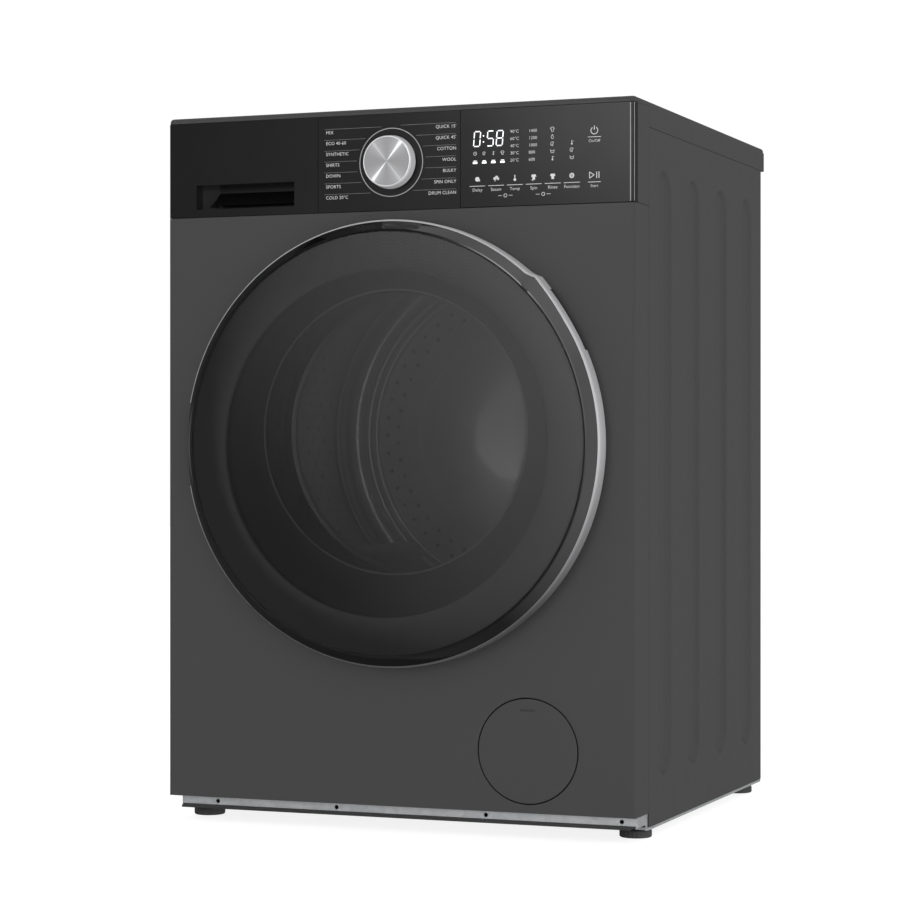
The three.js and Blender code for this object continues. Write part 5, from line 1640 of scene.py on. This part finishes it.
def dampers():
    """On each side a tube pinned to the base, and the rod in it pinned to the tub."""
    shell = [(0, 41), (12, 41), (14, 43), (14, 160), (13.4, 162), (13.4, 165), (12.6, 166), (0, 166)]
    inside = [(0, 48), (11.6, 48), (11.6, 158), (6.8, 160), (6.8, 170), (0, 170)]
    piston = [(0, 106), (10, 106), (11, 107), (11, 117), (10, 118), (4.8, 118), (4.8, 226), (0, 226)]
    depth, low_eye, high_eye = 215, 33, 232
    for x, word in ((-150, "left"), (150, "right")):
        tube = lathe_up("damper_tube_skin", shell, BLACK_PLASTIC, (x, depth))
        add(tube, rod("eye", 9, depth - 4, depth + 4, "y", (x, low_eye), BLACK_PLASTIC))
        room = lathe_up("tool", inside, BLACK_PLASTIC, (x, depth))
        pin = rod("tool", 4.4, depth - 6, depth + 6, "y", (x, low_eye), BLACK_PLASTIC, 24)
        piece(cut(tube, room, pin), "cabinet", "black_plastic", f"damper_tube_{word}")
        stem = lathe_up("damper_rod_skin", piston, STEEL, (x, depth))
        add(stem, rod("eye", 9, depth - 4, depth + 4, "y", (x, high_eye), STEEL))
        pin = rod("tool", 4.4, depth - 6, depth + 6, "y", (x, high_eye), STEEL, 24)
        piece(eased(cut(stem, pin), 0.4), "tub", "steel", f"damper_rod_{word}")


# ---------------------------------------------------------------- hinge, latch, hatch and filter


def hinge():
    """The bracket on the recess with its two eyes and pin, and the door's leaf between them."""
    x, d = HINGE_X, HINGE_D
    plan = [(-2, 4.5), (20.5, 17.5), (20.5, 28.5), (25.5, 28.5), (25.5, 12.5), (3.5, 1)]
    outline = soft([(x + a, d + b) for a, b in plan], 2)
    solids = []
    for low, high in ((18, HINGE_HALF), (-HINGE_HALF, -18)):
        solids.append(prism("arm", outline, DOOR_Z + low, DOOR_Z + high, "z", STEEL))
        solids.append(rod("eye", 5.5, DOOR_Z + low, DOOR_Z + high, "z", (x, d), STEEL, 40))
    tall = (DOOR_Z - HINGE_HALF, DOOR_Z + HINGE_HALF)
    plate = block("hinge_bracket_skin", (x + 20.5, x + 50), (RECESS_D - 2.5, RECESS_D - 0.4), tall, STEEL)
    pin = rod("pin", 2.6, tall[0] - 3, tall[1] + 3, "z", (x, d), STEEL, 24)
    piece(eased(add(plate, *solids, pin), 0.4), "cabinet", "steel", "hinge_bracket")
    places = [(x + 40, DOOR_Z + rise) for rise in (-28, 0, 28)]
    screws("hinge_screws", "cabinet", places, RECESS_D - 2.5, 4)

    low, high = d - 1.6, d + 1.4
    eye = rod("hinge_arm_skin", 5.5, DOOR_Z - 17.6, DOOR_Z + 17.6, "z", (x, d), STEEL, 40)
    neck = block("neck", (x, x + 30), (low, high), (DOOR_Z - 17, DOOR_Z + 17), STEEL)
    outline = soft(rectangle((x + 27.5, x + 46), (DOOR_Z - 38, DOOR_Z + 38)), 4)
    leaf = prism("leaf", outline, low, high, "y", STEEL)
    bore = rod("tool", 3.1, DOOR_Z - 20, DOOR_Z + 20, "z", (x, d), STEEL, 24)
    piece(eased(cut(add(eye, neck, leaf), bore), 0.4), "door", "steel", "hinge_arm")
    places = [(x + 37, DOOR_Z + rise) for rise in (-28, 28)]
    screws("hinge_leaf_screws", "door", places, high, 3.6, "y+")


def latch():
    x = LATCH_X
    hook = [(x - 3, 2), (x + 3, 2), (x + 3, 28.5), (x + 7, 29), (x + 7, 31), (x + 2.5, 34), (x - 3, 34)]
    shank = prism("latch_hook_skin", soft(hook, 1, 3), DOOR_Z - 5, DOOR_Z + 5, "z", STEEL)
    pivot = rod("pivot", 3.6, DOOR_Z - 6.5, DOOR_Z + 6.5, "z", (x, 5), STEEL, 32)
    piece(eased(add(shank, pivot), 0.4), "latch", "steel", "latch_hook")

    back = RECESS_D + SHEET + 0.4
    box = block("door_lock_skin", (198, 237), (back, 43), (DOOR_Z - 32, DOOR_Z + 32), BLACK_PLASTIC)
    room = block("tool", (203, 231), (back - 1, 39), (DOOR_Z - 8.5, DOOR_Z + 8.5), BLACK_PLASTIC)
    piece(eased(cut(box, room), 1), "cabinet", "black_plastic", "door_lock")


def hatch():
    r = HATCH_R
    back = [(r, 0.9), (r, 2.5), (r - 2.5, 2.5), (r - 2.5, 2), (0, 2)]
    disc = lathe("filter_hatch_skin", [(0, 0), (r - 0.3, 0), (r, 0.3), *back], PAINT, HATCH_X, HATCH_Z, 160)
    axis = HATCH_Z - 59.2
    barrel = rod("barrel", 1, HATCH_X - 10, HATCH_X + 10, "x", (1, axis), PAINT, 16)
    slot = soft(rectangle((HATCH_X - 9, HATCH_X + 9), (HATCH_Z + 46, HATCH_Z + 48.4)), 1.1)
    cut(add(disc, barrel), prism("tool", slot, -1, 1.2, "y", PAINT))
    piece(disc, "hatch", "graphite_paint", "filter_hatch")


def filter_cap():
    """Round cap with a finger grip; the tube behind it has slots for the water."""
    profile = [(0, 11.2), (32.5, 11.2), (33.6, 11.7), (34, 12.6), (34, 15), (28.2, 15), (28.2, 60), (24, 62)]
    profile += [(24, 104), (0, 104)]
    cap = lathe("filter_cap_skin", profile, BLACK_PLASTIC, HATCH_X, HATCH_Z, 96)
    outline = soft(rectangle((HATCH_X - 26, HATCH_X + 26), (HATCH_Z - 3.5, HATCH_Z + 3.5)), 3)
    add(cap, eased(prism("grip", outline, 6, 12, "y", BLACK_PLASTIC), 1.2, 3))
    places = around(24, 8, HATCH_X, HATCH_Z)
    slots = [rod("tool", 4.5, 66, 100, "y", place, BLACK_PLASTIC, 16) for place in places]
    piece(eased(cut(cap, *slots), 0.4), "filter", "black_plastic", "filter_cap")


# ---------------------------------------------------------------- rear fittings and what stays as it came


def rear_fittings():
    """The inlet valve with its hose thread, the drain's outlet and the cable's gland."""
    d = BODY_DEPTH
    x, z = -235, 790
    thread = [(9, 549.5), (13.2, 549.5)]
    for i in range(7):
        thread += [(13.2, 553 + 1.8 * i), (12.3, 553.9 + 1.8 * i)]
    thread += [(13, 566), (9, 566)]
    valve = lathe("inlet_valve_skin", thread, GREY_PLASTIC, x, z, 48)
    body = eased(block("body", (x - 23, x + 23), (505, 549.6), (z - 22, z + 22), GREY_PLASTIC), 2, 3)
    coil = [(0, 470), (12, 470), (14, 472), (14, 506), (0, 506)]
    coil = lathe("coil", coil, GREY_PLASTIC, x - 8, z + 4, 32)
    outlet = lathe("outlet", [(0, 470), (7, 470), (7, 506), (0, 506)], GREY_PLASTIC, x + 14, z - 12, 24)
    add(body, coil, outlet)
    cut(body, rod("tool", 9, 520, 570, "y", (x, z), GREY_PLASTIC))
    piece(joined("inlet_valve_skin", [valve, body]), "cabinet", "grey_plastic", "inlet_valve")

    profile = [(8, 536), (11, 536), (11, d + 0.4), (20, d + 0.4), (20, d + 2.6), (19.4, d + 3.4)]
    profile += [(11, d + 3.4), (11, 560), (12, 561.5), (11, 563), (11, 565), (10.4, 566), (8, 566)]
    drain = lathe("drain_outlet_skin", profile, GREY_PLASTIC, 240, 700, 48)
    piece(drain, "cabinet", "grey_plastic", "drain_outlet")

    profile = [(4, 544), (7.5, 544), (7.5, d + 0.4), (12, d + 0.4), (12, d + 3.6), (11.2, d + 4.4)]
    profile += [(9, d + 5), (8, 561), (7, 562), (4, 562)]
    gland = lathe("cable_gland_skin", profile, BLACK_PLASTIC, 240, 120, 40)
    piece(gland, "cabinet", "black_plastic", "cable_gland")


LOOKS = {
    "graphite_paint": PAINT,
    "zinc_steel": ZINC,
    "black_plastic": BLACK_PLASTIC,
    "fascia_plastic": FASCIA,
    "circuit_board": BOARD,
    "grey_plastic": GREY_PLASTIC,
    "gloss_black": GLOSS_BLACK,
    "tinted_cover": COVER,
    "clear_glass": GLASS,
    "steel": STEEL,
    "stainless": STAINLESS,
    "cast_aluminium": CAST_ALUMINIUM,
    "brushed_aluminium": KNOB_FACE,
    "seal_rubber": SEAL_RUBBER,
    "black_rubber": BLACK_RUBBER,
    "concrete": CONCRETE,
    "foot_rubber": FOOT_RUBBER,
}


def dress_nodes():
    """Looks and softened edges for every node of the frame."""
    for node in nodes.values():
        slot = node.data.materials[0].name.split(".")[0]
        node.data.materials.clear()
        node.data.materials.append(LOOKS[slot])
        modifier = node.modifiers.new("edges", "BEVEL")
        modifier.width = 0.4 * MM
        modifier.segments = 2
        modifier.limit_method = "ANGLE"
        modifier.angle_limit = math.radians(40)


# ---------------------------------------------------------------- the machine on its stage

make_camera()
make_world()
disc_glow, fascia_glow = (-9.5, 8, 18.2, 8, 2.5), (-12, 14, 9.3, 4, 10)
right_glow, top_glow = (70, 9, 82, 30, 1.5), (0, 84, 60, 20, 1.0)
make_dome([disc_glow, fascia_glow, right_glow, top_glow], 0.2)


def build_stage():
    """The plain floor, a hair under the feet."""
    data = bpy.data.meshes.new("floor")
    size, drop = 12, 0.0005
    corners = [(-size, -size, -drop), (size, -size, -drop), (size, size, -drop), (-size, size, -drop)]
    data.from_pydata(corners, [], [(0, 1, 2, 3)])
    data.materials.append(FLOOR)
    floor = placed("floor", data)
    floor.visible_glossy = False


build_stage()
make_drum_light()
dress_nodes()
top_plate()
front_panel()
side_panel(1, "right_side_panel")
side_panel(-1, "left_side_panel")
rear_panel()
base_frame()
for each in FEET:
    foot(each)
display_panel()
dial_panel()
knob()
drawer_front()
drawer_tray()
program_names()
display_digits()
display_legends()
painted_edge_highlights()
door_ring()
door_cover()
door_funnel()
cover_print()
door_inner_frame()
door_glass()
door_seal()
drum_shell()
drum_back_plate()
for each in range(3):
    lifter(each)
drum_back()
tub()
counterweights()
motor()
springs()
hose("sump_hose", SUMP, ("cabinet", "tub"))
hose("dispenser_hose", FILL, ("tub", "cabinet"))
dampers()
hinge()
latch()
hatch()
filter_cap()
rear_fittings()
